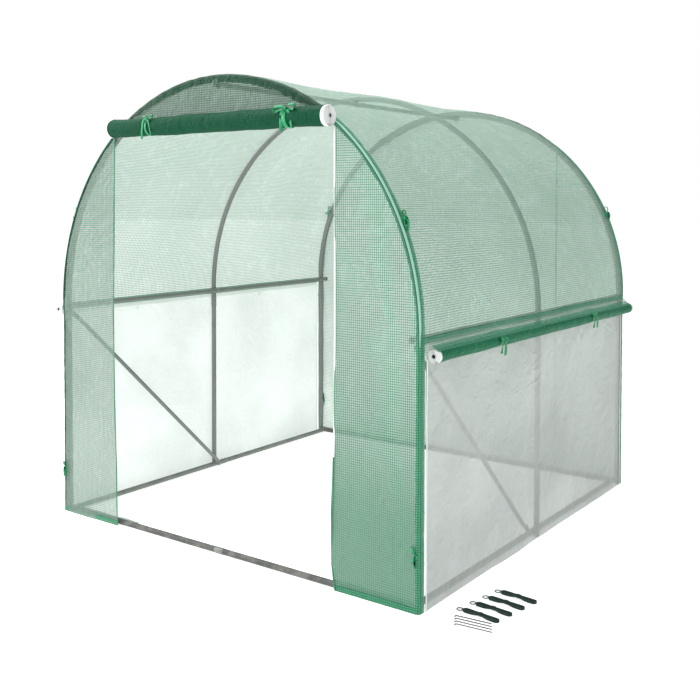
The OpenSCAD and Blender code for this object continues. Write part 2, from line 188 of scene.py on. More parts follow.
def make_piece(name, patches, materials, stands_for=(), closed=False):
    """Joins the patches into one piece that rides on the frame, with its seams merged."""
    points, faces, flat, paints, start = [], [], [], [], 0
    for p in patches:
        rows, columns = p["at"].shape[:2]
        quads, keep = kept_faces(p)
        if p["flip"]:
            quads = quads[:, ::-1]
        points.append(p["at"].reshape(-1, 3))
        flat.append(p["uv"].reshape(-1, 2)[quads.reshape(-1)])
        faces.append(quads + start)
        paints.append(np.broadcast_to(p["paint"], (rows - 1, columns - 1)).reshape(-1)[keep])
        start += rows * columns
    faces = np.concatenate(faces)
    mesh = bpy.data.meshes.new(name)
    mesh.from_pydata(np.concatenate(points).tolist(), [], faces.tolist())
    mesh.uv_layers.new(name="flat").data.foreach_set("uv", np.concatenate(flat).reshape(-1))
    mesh.polygons.foreach_set("material_index", np.concatenate(paints).astype(np.int32))
    mesh.polygons.foreach_set("use_smooth", np.ones(len(faces), bool))
    for material in materials:
        mesh.materials.append(material)
    work = bmesh.new()
    work.from_mesh(mesh)
    bmesh.ops.delete(work, geom=[v for v in work.verts if not v.link_faces], context="VERTS")
    bmesh.ops.remove_doubles(work, verts=work.verts, dist=2e-6)
    bmesh.ops.dissolve_degenerate(work, edges=work.edges, dist=2e-6)
    if closed:
        bmesh.ops.recalc_face_normals(work, faces=work.faces)
    work.to_mesh(mesh)
    work.free()
    piece = bpy.data.objects.new(name, mesh)
    bpy.context.scene.collection.objects.link(piece)
    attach(piece, "root")
    if stands_for:
        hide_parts(*stands_for)
    return piece


def flat_area(patches):
    """The area of the kept faces in their flat coordinates: half the cross product of the diagonals."""
    total = 0.0
    for p in patches:
        q = p["uv"].reshape(-1, 2)[kept_faces(p)[0]]
        a, b = q[:, 2] - q[:, 0], q[:, 3] - q[:, 1]
        total += float((np.abs(a[:, 0] * b[:, 1] - a[:, 1] * b[:, 0]) / 2).sum())
    return total


def smooth(x):
    """Rises from 0 to 1 as 3x squared less 2x cubed, and stays at 0 or 1 outside."""
    x = np.clip(x, 0, 1)
    return x * x * (3 - 2 * x)


def waves(u, v, seed, count, short, long):
    """Soft waves: the mean of many sine waves with seeded directions, lengths and starts."""
    rng = np.random.default_rng(seed)
    total = np.zeros(np.broadcast(u, v).shape)
    for turn, length, start in zip(
            rng.uniform(0, math.pi, count), rng.uniform(short, long, count), rng.uniform(0, 6.3, count)):
        total += np.sin((u * math.cos(turn) + v * math.sin(turn)) * 2 * math.pi / length + start)
    return total / math.sqrt(count)


def creases(u, v, seed, count, reach=0.25, width=0.012, turns=(0, math.pi)):
    """Sharp folds: straight ridges and furrows that fade away from their line and past its ends."""
    rng = np.random.default_rng(seed)
    total = np.zeros(np.broadcast(u, v).shape)
    for _ in range(count):
        cu, cv = rng.uniform(u.min(), u.max()), rng.uniform(v.min(), v.max())
        turn, way = rng.uniform(*turns), rng.choice((-1, 1)) * rng.uniform(0.4, 1)
        wide, far = width * rng.uniform(0.6, 1.8), reach * rng.uniform(0.4, 1.2)
        along = (u - cu) * math.cos(turn) + (v - cv) * math.sin(turn)
        across = (v - cv) * math.cos(turn) - (u - cu) * math.sin(turn)
        total += way * np.exp(-np.abs(across) / wide) * np.exp(-((along / far) ** 2))
    return total


def gathers(u, v, at, rays, reach):
    """Folds that run out from a point where a sheet is tied, and fade with the distance from it."""
    du, dv = u - at[0], v - at[1]
    far = np.hypot(du, dv)
    return np.cos(np.arctan2(dv, du) * rays) * np.exp(-((far / reach) ** 2)) * smooth(far / 0.02)


def outline(s, r):
    """The point at distance s from the crown, along a half circle of radius r and then straight down.

    Gives the place across, the height, and the two parts of the outward direction.
    """
    turn = np.clip(s, -r * QUARTER, r * QUARTER) / r
    below = np.clip(np.abs(s) - r * QUARTER, 0, None)
    return r * np.sin(turn), ARCH_Z + r * np.cos(turn) - below, np.sin(turn), np.cos(turn)


def shell(s, t, out):
    """A point of the roof sheet: s along the outline, t from the front end's face over its rounded corner
    to the rear one's, and out along the outward direction. Below 0 and past the end t goes on flat.
    """
    back = np.minimum(t, SHELL_LENGTH - t)
    turn = np.clip(back / EDGE_R, 0, QUARTER)
    x, z, nx, nz = outline(s, SHEET_R)
    drop = EDGE_R * (1 - np.sin(turn)) + np.clip(-back, 0, None)
    inset = EDGE_R * (1 - np.cos(turn)) + np.clip(back - CORNER, 0, None)
    front = t < SHELL_LENGTH / 2
    side = np.where(front, -1.0, 1.0)
    y = np.where(front, FRONT_Y + inset, REAR_Y - inset) + side * out * np.cos(turn)
    lift = out * np.sin(turn) - drop
    return together(x + nx * lift, y, z + nz * lift)


def down_to(z):
    """The distance from the crown to a height on the straight wall."""
    return SHEET_R * QUARTER + ARCH_Z - z


def steps(*stops, step):
    """Numbers from the first stop to the last that meet each stop, about a step apart."""
    parts = [np.linspace(a, b, max(2, int(round(abs(b - a) / step)) + 1)) for a, b in zip(stops, stops[1:])]
    return np.concatenate([parts[0]] + [p[1:] for p in parts[1:]])


def mesh_grid(a, b):
    return np.meshgrid(a, b, indexing="ij")


# ---- shaders ------------------------------------------------------------------------------------


class Tree:
    """Adds nodes to a shader tree and joins them."""

    def __init__(self, tree):
        self.tree = tree

    def add(self, kind, inputs=None, **settings):
        node = self.tree.nodes.new("ShaderNode" + kind)
        for key, value in settings.items():
            setattr(node, key, value)
        for key, value in (inputs or {}).items():
            if isinstance(value, bpy.types.NodeSocket):
                self.tree.links.new(value, node.inputs[key])
            else:
                node.inputs[key].default_value = value
        return node

    def join(self, value, socket):
        self.tree.links.new(value, socket)

    def math(self, operation, a, b=0.0, c=0.0):
        return self.add("Math", {0: a, 1: b, 2: c}, operation=operation).outputs[0]

    def step(self, value, low, high, out_low=0.0, out_high=1.0):
        return self.add("MapRange", {"Value": value, "From Min": low, "From Max": high, "To Min": out_low,
                                     "To Max": out_high}, interpolation_type="SMOOTHSTEP").outputs[0]

    def mix(self, factor, a, b):
        return self.add("Mix", {0: factor, 6: a, 7: b}, data_type="RGBA").outputs[2]

    def blend(self, factor, a, b):
        return self.add("Mix", {0: factor, 2: a, 3: b}, data_type="FLOAT").outputs[0]

    def noise(self, vector, scale, detail=2.0, roughness=0.5, distortion=0.0):
        return self.add("TexNoise", {"Vector": vector, "Scale": scale, "Detail": detail,
                                     "Roughness": roughness, "Distortion": distortion}).outputs[0]


def new_group(name, inputs, outputs):
    """A shader group with named sockets: inputs are (name, kind, default), outputs (name, kind)."""
    group = bpy.data.node_groups.new(name, "ShaderNodeTree")
    for label, kind, value in inputs:
        socket = group.interface.new_socket(name=label, in_out="INPUT", socket_type="NodeSocket" + kind)
        if value is not None:
            socket.default_value = value
    for label, kind in outputs:
        group.interface.new_socket(name=label, in_out="OUTPUT", socket_type="NodeSocket" + kind)
    entry = group.nodes.new("NodeGroupInput")
    leave = group.nodes.new("NodeGroupOutput")
    return group, Tree(group), entry.outputs, leave.inputs


def grid_weave():
    """Threads both ways on flat coordinates: a mask that is 1 on a thread, and their height."""
    group, t, given, result = new_group(
        "grid_weave", [("Vector", "Vector", None), ("Pitch", "Float", 0.009), ("Thread", "Float", 0.3)],
        [("Threads", "Float"), ("Height", "Float")])
    drift = t.add("TexNoise", {"Vector": given["Vector"], "Scale": 9.0, "Detail": 1.0}).outputs[1]
    moved = t.add("VectorMath", {0: drift, 1: (0.5, 0.5, 0.5)}, operation="SUBTRACT").outputs[0]
    small = t.add("VectorMath", {0: moved, "Scale": 0.004}, operation="SCALE").outputs[0]
    place = t.add("VectorMath", {0: given["Vector"], 1: small}, operation="ADD").outputs[0]
    split = t.add("SeparateXYZ", {0: place}).outputs
    lines = []
    for way in (split[0], split[1]):
        near = t.math("ABSOLUTE", t.math("SUBTRACT", t.math("FRACT", t.math(
            "DIVIDE", way, given["Pitch"])), 0.5))
        inner = t.math("MULTIPLY", given["Thread"], 0.35)
        outer = t.math("MULTIPLY", given["Thread"], 0.65)
        lines.append(t.step(near, inner, outer, 1.0, 0.0))
    mask = t.math("MAXIMUM", *lines)
    t.join(mask, result["Threads"])
    t.join(t.math("ADD", lines[0], lines[1]), result["Height"])
    return group


def film_crinkle():
    """Fine crumples of thin film: ridged noise at two sizes as a height, and a slow change of tone."""
    group, t, given, result = new_group(
        "film_crinkle", [("Vector", "Vector", None), ("Scale", "Float", 12.0)],
        [("Height", "Float"), ("Tone", "Float")])
    parts = []
    for share, gain in ((1.0, 1.0), (2.7, 0.5)):
        scale = t.math("MULTIPLY", given["Scale"], share)
        n = t.add("TexNoise", {"Vector": given["Vector"], "Scale": scale, "Detail": 2.0,
                               "Distortion": 0.8}).outputs[0]
        ridge = t.math("SUBTRACT", 1.0, t.math("ABSOLUTE", t.math("MULTIPLY_ADD", n, 4.0, -2.0)))
        parts.append(t.math("MULTIPLY", t.math("MAXIMUM", ridge, 0.0), gain))
    t.join(t.math("ADD", *parts), result["Height"])
    slow = t.add("TexNoise", {"Vector": given["Vector"], "Scale": 2.2, "Detail": 3.0}).outputs[0]
    t.join(t.step(slow, 0.3, 0.7), result["Tone"])
    return group


def scuffs():
    """Handling marks on tubes and fittings: fine scratches as a mask, and dust low down."""
    group, t, given, result = new_group(
        "scuffs", [("Vector", "Vector", None), ("Dust Top", "Float", 0.12)],
        [("Scratches", "Float"), ("Dust", "Float"), ("Height", "Float")])
    fine = t.noise(given["Vector"], 140.0, 3.0, 0.7, 0.3)
    wide = t.noise(given["Vector"], 7.0, 2.0)
    worn = t.math("MULTIPLY", t.step(fine, 0.60, 0.72), t.step(wide, 0.45, 0.65))
    t.join(worn, result["Scratches"])
    height = t.add("SeparateXYZ", {0: given["Vector"]}).outputs[2]
    low = t.step(height, 0.0, given["Dust Top"], 1.0, 0.0)
    t.join(t.math("MULTIPLY", low, t.step(t.noise(given["Vector"], 26.0), 0.35, 0.75)),
                     result["Dust"])
    t.join(t.noise(given["Vector"], 320.0, 2.0), result["Height"])
    return group


def strand_weave():
    """Slanted strands both ways on flat coordinates, as on braid and ribbon."""
    group, t, given, result = new_group(
        "strand_weave", [("Vector", "Vector", None), ("Along", "Float", 0.004), ("Across", "Float", 0.004)],
        [("Height", "Float"), ("Gaps", "Float")])
    split = t.add("SeparateXYZ", {0: given["Vector"]}).outputs
    a, b = t.math("DIVIDE", split[0], given["Along"]), t.math("DIVIDE", split[1], given["Across"])
    one = t.math("SINE", t.math("MULTIPLY", t.math("ADD", a, b), 6.28319))
    two = t.math("SINE", t.math("MULTIPLY", t.math("SUBTRACT", a, b), 6.28319))
    height = t.math("MULTIPLY_ADD", t.math("MULTIPLY", one, two), 0.5, 0.5)
    t.join(height, result["Height"])
    t.join(t.step(height, 0.10, 0.45, 1.0, 0.0), result["Gaps"])
    return group


def effect(name):
    """The shader group of that name, made once."""
    return bpy.data.node_groups.get(name) or {
        "grid_weave": grid_weave, "film_crinkle": film_crinkle, "scuffs": scuffs,
        "strand_weave": strand_weave}[name]()


def place_effect(t, name, **inputs):
    node = t.add("Group", node_tree=effect(name))
    for key, value in inputs.items():
        socket = node.inputs[key.replace("_", " ")]
        if isinstance(value, bpy.types.NodeSocket):
            t.join(value, socket)
        else:
            socket.default_value = value
    return node.outputs


def new_material(name):
    """A material with its tree, its Principled shader's inputs, flat coordinates and object coordinates."""
    material = bpy.data.materials.new(name)
    material.use_nodes = True
    t = Tree(material.node_tree)
    shader = material.node_tree.nodes["Principled BSDF"].inputs
    flat = t.add("UVMap", uv_map="flat").outputs[0]
    place = t.add("TexCoord").outputs["Object"]
    return material, t, shader, flat, place


def bump(t, shader, height, strength, distance, normal=None):
    node = t.add("Bump", {"Height": height, "Strength": strength, "Distance": distance})
    if normal is not None:
        t.join(normal, node.inputs["Normal"])
    t.join(node.outputs[0], shader["Normal"])


def painted_glow(t, shader, colour, inside, outside):
    """Painted light that stands in for light soaking through a thin sheet: an emission in the sheet's own
    colour, stronger on its back than on its front.
    """
    back = t.add("NewGeometry").outputs["Backfacing"]
    share = t.blend(back, outside, inside)
    glow = t.add("VectorMath", {0: colour, "Scale": share}, operation="SCALE").outputs[0]
    t.join(glow, shader["Emission Color"])
    shader["Emission Strength"].default_value = 1.0


def woven_sheet(name, thread, cell, thread_share, thread_alpha, cell_alpha, gloss=0.40, glow=(0.30, 0.05),
                deeper=0.0, shine=0.35):
    """A green grid between two thin films: fine threads, pale clearer cells, and a crumpled glossy skin.

    Deeper is how much denser and darker the sheet gets towards the ground; the darkening is painted shade.
    """
    material, t, shader, flat, place = new_material(name)
    weave = place_effect(t, "grid_weave", Vector=flat, Pitch=sizes().grid_pitch, Thread=thread_share)
    film = place_effect(t, "film_crinkle", Vector=place, Scale=9.0)
    cell_tone_and_shade = t.mix(film["Tone"], rgba(cell), rgba(times(cell, 0.80)))
    # painted shade: the cells darken along the crumples' highest ridges
    cell_tone_and_shade = t.mix(t.step(film["Height"], 0.78, 0.99, 0.0, 0.22), cell_tone_and_shade, rgba(times(cell, 0.45)))
    thin = t.blend(film["Tone"], cell_alpha, min(1.0, cell_alpha + 0.10))
    # painted shade: below about 1.25 m the cells darken towards the ground, and the sheet also grows denser
    # there
    if deeper:
        height = t.add("SeparateXYZ", {0: place}).outputs[2]
        low_shade_and_density = t.step(height, 0.25, 1.25, 1.0, 0.0)
        cell_tone_and_shade = t.mix(low_shade_and_density, cell_tone_and_shade, rgba(times(cell, *(1 - deeper * k for k in LOW_SHADE_FADE))))
        thin = t.blend(low_shade_and_density, thin, min(1.0, cell_alpha + deeper))
    tint = t.mix(weave["Threads"], cell_tone_and_shade, rgba(thread))
    t.join(tint, shader["Base Color"])
    t.join(t.blend(weave["Threads"], thin, thread_alpha), shader["Alpha"])
    t.join(t.blend(film["Tone"], gloss, gloss + 0.14), shader["Roughness"])
    first = t.add("Bump", {"Height": film["Height"], "Strength": 0.9, "Distance": 0.0045}).outputs[0]
    bump(t, shader, weave["Height"], 0.35, 0.0006, first)
    shader["Specular IOR Level"].default_value = shine
    # painted glow: the sheet emits a share of its own colour on each face
    painted_glow(t, shader, tint, *glow)
    return material


def clear_film():
    """Milky thin film with soft crumples."""
    material, t, shader, _, place = new_material("milky_side_film")
    film = place_effect(t, "film_crinkle", Vector=place, Scale=7.0)
    tint = colours().film
    tone = t.mix(film["Tone"], rgba(tint), rgba(times(tint, 0.86)))
    # painted shade: the film darkens towards the ground, down to 0.72 of its tint
    low = t.step(t.add("SeparateXYZ", {0: place}).outputs[2], -0.1, 0.95, 1.0, 0.0)
    base = t.mix(low, tone, rgba(times(tint, 0.72)))
    t.join(base, shader["Base Color"])
    t.join(t.blend(film["Tone"], 0.80, 0.89), shader["Alpha"])
    t.join(t.blend(film["Tone"], 0.34, 0.46), shader["Roughness"])
    bump(t, shader, film["Height"], 0.9, 0.0050)
    # painted glow: the film's back emits its own tone
    painted_glow(t, shader, tone, 1.04, 0.0)
    return material


def stranded(name, tint, strands, gap_shade, roughness, relief, mottle=None):
    """Tape, ribbon or rope of slanted strands, duller in the gaps between them and darkened there by painted
    shade.

    Mottle is the scale, threshold, share and lift of a slow change of tone, where there is one.
    """
    material, t, shader, flat, place = new_material(name)
    rib = place_effect(t, "strand_weave", Vector=flat, Along=strands[0], Across=strands[1])
    base = rgba(tint)
    if mottle:
        scale, low, share, lift = mottle
        slow = t.step(t.noise(place, scale, 2.0), low, 0.7)
        base = t.mix(slow, base, rgba([min(1, c * share + lift) for c in tint]))
    # painted shade: the gaps between the strands are darkened
    t.join(t.mix(rib["Gaps"], base, rgba(times(tint, gap_shade))), shader["Base Color"])
    t.join(t.blend(rib["Gaps"], *roughness), shader["Roughness"])
    bump(t, shader, rib["Height"], *relief)
    return material


def woven_tape(name, tint):
    """Woven edging with a fine rib."""
    return stranded(name, tint, (0.0035, 0.0035), 0.78, (0.5, 0.7), (0.4, 0.0004))


def tie_ribbon():
    """Shiny woven green ribbon."""
    return stranded("green_ribbon", colours().ribbon, (0.003, 0.0025), 0.5, (0.32, 0.5), (0.35, 0.0003),
                    (38.0, 0.3, 1.5, 0.01))


def braided_rope():
    """Dark green braided cord."""
    return stranded("dark_green_rope", colours().rope, (0.006, 0.00314), 0.35, (0.5, 0.8), (0.6, 0.0005),
                    (60.0, 0.35, 1.9, 0.004))


def hard_finish(name, tint, roughness, metallic, worn, worn_share, grain=0.15, dust=0.25):
    """Paint, plastic or plating with scratches, low dust and a fine grain."""
    material, t, shader, _, place = new_material(name)
    marks = place_effect(t, "scuffs", Vector=place)
    slow = t.step(t.noise(place, 3.0, 3.0), 0.3, 0.7)
    base = t.mix(slow, rgba(tint), rgba([min(1, c * 1.18) for c in tint]))
    scratched = t.mix(t.math("MULTIPLY", marks["Scratches"], worn_share), base, rgba(worn))
    dusty = t.mix(t.math("MULTIPLY", marks["Dust"], dust), scratched, (0.55, 0.52, 0.46, 1))
    t.join(dusty, shader["Base Color"])
    t.join(t.blend(marks["Dust"], t.blend(marks["Scratches"], roughness, roughness * 0.7), 0.8),
                     shader["Roughness"])
    shader["Metallic"].default_value = metallic
    bump(t, shader, marks["Height"], grain, 0.0003)
    return material


def finish_nodes(material, *nodes):
    """Gives frame nodes a finish in place of their plain one."""
    for node in nodes:
        slots = NODES[node].data.materials
        slots.clear()
        slots.append(material)


# ---- cords --------------------------------------------------------------------------------------


def run_of(line):
    """The distance along a line to each of its points."""
    return np.concatenate([[0], np.cumsum(np.linalg.norm(np.diff(line, axis=0), axis=1))])


def unit(ways):
    """Directions scaled to length 1."""
    return ways / np.maximum(np.linalg.norm(ways, axis=1), 1e-9)[:, None]


def curve_through(points, count):
    """A smooth line through points: each stretch is the cubic whose ends' slopes follow the neighbours."""
    p = np.array(points, float)
    far = run_of(p)
    slope = np.gradient(p, far, axis=0)
    at = np.linspace(0, far[-1], count)
    k = np.clip(np.searchsorted(far, at, side="right") - 1, 0, len(p) - 2)
    span = (far[k + 1] - far[k])[:, None]
    f = ((at - far[k])[:, None]) / span
    return ((2 * f**3 - 3 * f**2 + 1) * p[k] + (f**3 - 2 * f**2 + f) * span * slope[k]
            + (3 * f**2 - 2 * f**3) * p[k + 1] + (f**3 - f**2) * span * slope[k + 1])


def evenly(line, step):
    """The line again with points one step apart."""
    far = run_of(line)
    at = np.linspace(0, far[-1], max(3, int(far[-1] / step)))
    return np.stack([np.interp(at, far, line[:, k]) for k in range(3)], axis=1), far[-1]


def tube_patches(line, radius, sides=10):
    """A round tube along a line, closed at its ends: circles square to the line, each laid out from one fixed
    direction that no stretch of the line follows."""
    ahead = unit(np.gradient(line, axis=0))
    side = unit(np.cross(ahead, (0.55, 0.25, 0.80)))
    up = np.cross(ahead, side)
    turn = np.linspace(0, 2 * math.pi, sides + 1)
    ring = side[:, None] * np.cos(turn)[None, :, None] + up[:, None] * np.sin(turn)[None, :, None]
    far = run_of(line)
    uv = together(*mesh_grid(far, turn * radius))
    body = line[:, None] + ring * radius
    made = [patch(body, uv)]
    for end in (0, -1):
        cap = np.stack([np.repeat(line[end][None], sides + 1, axis=0), body[end]])
        made.append(patch(cap, np.stack([uv[end], uv[end]]), flip=end == 0))
    return made


HANK_TURNS = 6
WRAP_TURNS = 5


def hank_line(rope):
    """A folded rope from its ring: turns round two ends, laid beside and on each other and drawn in at the
    middle, then a tight winding round that middle, and a short tail on the ground. X runs away from the ring.
    """
    near, far_x, middle = 0.0278, 0.1555, 0.0915
    at = np.linspace(0, HANK_TURNS, HANK_TURNS * 90 + 1)
    turn = np.floor(at + 1e-9)
    ease = smooth((at - turn - 0.80) / 0.20)

    def value(k):
        k = np.clip(k, 0, HANK_TURNS - 1)
        return 0.0088 + 0.0031 * (k % 2), rope / 2 + 0.0001 + (rope + 0.00012) * (k // 2)

    (r0, z0), (r1, z1) = value(turn), value(turn + 1)
    radius, height = r0 + (r1 - r0) * ease, z0 + (z1 - z0) * ease
    straight = far_x - near
    loop = 2 * straight + 2 * math.pi * radius
    d = (at - turn) * loop
    half = math.pi * radius
    a1, a2, a3 = straight, straight + half, 2 * straight + half
    turn1 = np.clip((d - a1) / radius, 0, math.pi)
    turn2 = np.clip((d - a3) / radius, 0, math.pi)
    x = np.where(d < a1, near + d, np.where(d < a2, far_x + radius * np.sin(turn1), np.where(
        d < a3, far_x - (d - a2), near - radius * np.sin(turn2))))
    y = np.where(d < a1, -radius, np.where(d < a2, -radius * np.cos(turn1), np.where(
        d < a3, radius, radius * np.cos(turn2))))
    drawn = np.exp(-(((x - middle) / 0.024) ** 2))
    inner = np.where(radius > 0.0103, 0.0047, 0.0016)
    y = np.sign(y) * (np.abs(y) + (inner - np.abs(y)) * drawn)
    coils = np.stack([x, y, height + (rope + 0.0002) * drawn], axis=1)
    lead = np.array([[0.0095, -0.0015, 0.0062], [0.0135, -0.0035, 0.0066], [0.019, -0.0078, 0.0035]])
    wind = np.linspace(0, WRAP_TURNS * 2 * math.pi, WRAP_TURNS * 26)
    tall = rope * 1.5 + 0.0003
    wrap = np.stack([
        middle - 0.0075 + (rope + 0.0001) * wind / (2 * math.pi),
        0.0082 * np.sin(wind + 0.3),
        tall + rope + 0.0003 - (tall + rope / 2) * np.cos(wind + 0.3)], axis=1)
    bridge = curve_through([coils[-1], coils[-1] + (0.02, 0.0005, 0.0015),
                            wrap[0] + (-0.012, -0.004, -0.001), wrap[0]], 40)
    last = wrap[-1]
    tail = curve_through([last, last + (0.008, 0.004, -0.0015), (last[0] + 0.020, 0.0155, rope / 2 + 0.001),
                          (last[0] + 0.036, 0.0175, rope / 2), (last[0] + 0.050, 0.0165, rope / 2)], 50)
    start = curve_through([*lead, coils[0] + (0.004, 0, 0)], 30)
    line = np.concatenate([start, coils[3:], bridge[1:], wrap[1:], tail[1:]])
    line[:, 2] = np.maximum(line[:, 2], rope / 2)
    return line


def knot_line(size):
    """A simple overhand knot, as the trefoil line: cos t - 2 cos 2t along, sin t + 2 sin 2t across, and
    -0.8 sin 3t up.
    """
    t = np.linspace(0, 2 * math.pi, 60)
    return size * np.stack([np.cos(t) - 2 * np.cos(2 * t), np.sin(t) + 2 * np.sin(2 * t),
                            -0.8 * np.sin(3 * t)], axis=1)


# ---- operators ----------------------------------------------------------------------------------


class TUNNEL_OT_stage(bpy.types.Operator):
    """Make the camera, the pale floor and the soft studio light"""

    bl_idname = "tunnel.stage"
    bl_label = "Stage"

    def execute(self, context):
        data = bpy.data.cameras.new("camera")
        camera = bpy.data.objects.new("camera", data)
        context.scene.collection.objects.link(camera)
        context.scene.camera = camera
        data.lens, data.sensor_width, data.shift_y = 49.21, 36.0, -120 / 700
        camera.location = (2.8269, -3.9155, 1.5002)
        camera.rotation_mode = "XYZ"
        camera.rotation_euler = (math.radians(90 - 1.642), math.radians(-0.09), math.radians(35.968))
        size = 60.0
        mesh = bpy.data.meshes.new("floor")
        mesh.from_pydata([(-size, -size, 0), (size, -size, 0), (size, size, 0), (-size, size, 0)], [],
                         [(0, 1, 2, 3)])
        floor = bpy.data.objects.new("floor", mesh)
        context.scene.collection.objects.link(floor)
        material, t, shader, _, place = new_material("pale_floor")
        slow = t.step(t.noise(place, 1.5, 2.0), 0.2, 0.8)
        t.join(t.mix(slow, (0.80, 0.80, 0.80, 1), (0.82, 0.82, 0.82, 1)), shader["Base Color"])
        shader["Roughness"].default_value = 0.9
        shader["Specular IOR Level"].default_value = 0.0
        shader["Emission Color"].default_value = (1, 1, 1, 1)
        shader["Emission Strength"].default_value = 0.60
        mesh.materials.append(material)
        world = bpy.data.worlds.new("studio")
        context.scene.world = world
        world.use_nodes = True
        t = Tree(world.node_tree)
        sky = world.node_tree.nodes["Background"].inputs
        seen = t.add("LightPath").outputs["Is Camera Ray"]
        t.join(t.blend(seen, 0.70, 1.0), sky["Strength"])
        sky["Color"].default_value = (1, 1, 1, 1)
        for name, at, aim, side, power in (
                ("top_softbox", (-1.2, -0.8, 5.2), (0, 0, 0.5), 4.5, 210),
                ("left_softbox", (-4.6, -3.2, 3.0), (0, 0, 0.9), 3.0, 170),
                ("front_softbox", (1.0, -6.5, 2.6), (0, 0, 1.0), 2.5, 60)):
            lamp = bpy.data.lights.new(name, "AREA")
            lamp.size, lamp.energy = side, power
            light = bpy.data.objects.new(name, lamp)
            light.location = at
            way = np.array(aim) - np.array(at)
            light.rotation_mode = "XYZ"
            light.rotation_euler = (math.acos(-way[2] / np.linalg.norm(way)), 0,
                                    math.atan2(way[1], way[0]) - math.pi / 2)
            context.scene.collection.objects.link(light)
        context.scene.view_settings.view_transform = "Standard"
        context.scene.cycles.transparent_max_bounces = 32
        return {"FINISHED"}


class TUNNEL_OT_ropes(bpy.types.Operator):
    """Make the four folded guy ropes with their end knots, and finish the rings and pegs"""

    bl_idname = "tunnel.ropes"
    bl_label = "Guy ropes and pegs"

    def execute(self, context):
        rope = sizes().rope
        material = braided_rope()
        rings_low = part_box("guy_rope_rings")[0]
        ring_r = 0.0135
        first = np.array((rings_low.x + ring_r, rings_low.y + ring_r, 0.0))
        step = np.array((0.013, 0.076, 0.0))
        turn = math.radians(-5.5)
        for i in range(4):
            line = hank_line(rope)
            rng = np.random.default_rng(40 + i)
            line[:, 1] *= 1 + 0.03 * rng.standard_normal()
            c, s = math.cos(turn), math.sin(turn)
            line = line @ np.array([[c, s, 0], [-s, c, 0], [0, 0, 1]]) + first + step * i
            path, length = evenly(line, 0.0026)
            name = f"guy_rope_{i + 1}"
            piece = make_piece(f"folded_{name}", tube_patches(path, rope / 2), [material], [name],
                               closed=True)
            bulb = knot_line(0.0015) + path[-1] + (0, 0, 0.0012)
            knot = make_piece(f"end_knot_{i + 1}", tube_patches(bulb, 0.0012, 8), [material],
                              closed=True)
        finish_nodes(hard_finish("ring_plastic", srgb(70, 92, 84), 0.42, 0.0, srgb(120, 140, 130), 0.4),
                     "guy_rope_rings")
        finish_nodes(hard_finish("galvanised_wire", srgb(84, 86, 88), 0.4, 0.7, srgb(130, 128, 124), 0.4),
                     "ground_pegs")
        return {"FINISHED"}


class TUNNEL_OT_tubes(bpy.types.Operator):
    """Finish the steel tubes, bolts and caps, and add the tube joints' collars and screws"""

    bl_idname = "tunnel.tubes"
    bl_label = "Tube frame"

    def execute(self, context):
        tube = hard_finish("grey_painted_tube", colours().tube, 0.36, 0.25, srgb(168, 170, 168), 0.35)
        finish_nodes(tube, *(n for n in NODES if n.endswith(("_leg", "_arch", "_rail", "_brace"))))
        # painted shade: the ground rails get the tube paint at about a third of its brightness, for the
        # shadow near the ground
        low = hard_finish("ground_rail_painted_shade", times(colours().tube, 0.34), 0.5, 0.1,
                          srgb(120, 122, 120), 0.25)
        finish_nodes(low, "front_ground_rail", "rear_ground_rail")
        bolt = hard_finish("plated_bolt", srgb(150, 152, 152), 0.3, 0.9, srgb(90, 88, 84), 0.4)
        finish_nodes(bolt, "frame_bolts")
        finish_nodes(hard_finish("dark_green_cap", srgb(8, 40, 28), 0.45, 0.0, srgb(40, 80, 62), 0.3),
                     "rail_end_caps")
        radius = TUBE_D / 2
        around = np.linspace(0, 2 * math.pi, 33)
        profile = np.array([(-1.0, 0.0), (-0.96, 0.7), (-0.8, 1.0), (0.8, 1.0), (0.96, 0.7), (1.0, 0.0)])
        joints = []
        ground = middle_of("front_ground_rail")[2]
        for y in (HOOP_Y[0], HOOP_Y[2]):
            joints.append(((0.0, y, ground), 0, 0.024, radius + 0.0013))
        for side in (-1, 1):
            x = side * abs(middle_of("right_ground_rail")[0])
            joints.append(((x, HOOP_Y[1] + 0.05, ground), 1, 0.024, radius + 0.0013))
        for node in ("ridge_rail", "left_side_rail", "right_side_rail"):
            place = middle_of(node)
            joints.append(((place[0], HOOP_Y[1] + 0.06, place[2]), 1, 0.022, size_of(node)[0] / 2 + 0.0013))
        patches = []
        for place, axis, half, r in joints:
            ways = [np.eye(3)[(axis + k) % 3] for k in range(3)]
            out = r - 0.0016 + profile[:, 1] * 0.0016
            at = (np.array(place) + (profile[:, 0] * half)[:, None, None] * ways[0]
                  + out[:, None, None] * (np.cos(around)[None, :, None] * ways[1]
                                          + np.sin(around)[None, :, None] * ways[2]))
            uv = np.stack(mesh_grid(profile[:, 0] * half, around * r), axis=-1)
            patches.append(patch(at, uv))
        make_piece("tube_joint_collars", patches, [tube])
        patches = []
        dome = np.linspace(0, QUARTER, 6)
        for node in [n for n in NODES if n.endswith("_leg")]:
            x, y, _ = middle_of(node)
            side = math.copysign(1, x)
            for z in (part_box(node)[1].z - 0.045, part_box(node)[1].z - 0.015):
                ring = 0.0042 * np.cos(dome)
                lift = 0.0138 + 0.0022 * np.sin(dome)
                at = together(
                    x - side * lift[:, None], y + ring[:, None] * np.cos(around)[None],
                    z + ring[:, None] * np.sin(around)[None])
                patches.append(patch(at, np.stack(mesh_grid(dome, around), axis=-1) * 0.004, flip=side > 0))
        make_piece("socket_rivets", patches, [bolt])
        return {"FINISHED"}


def hoop_keep(y, room=0.045):
    """0 at a hoop and 1 well away from it, so that a sheet lies on its hoops."""
    return np.prod([1 - np.exp(-(((y - h) / room) ** 2)) for h in HOOP_Y], axis=0)


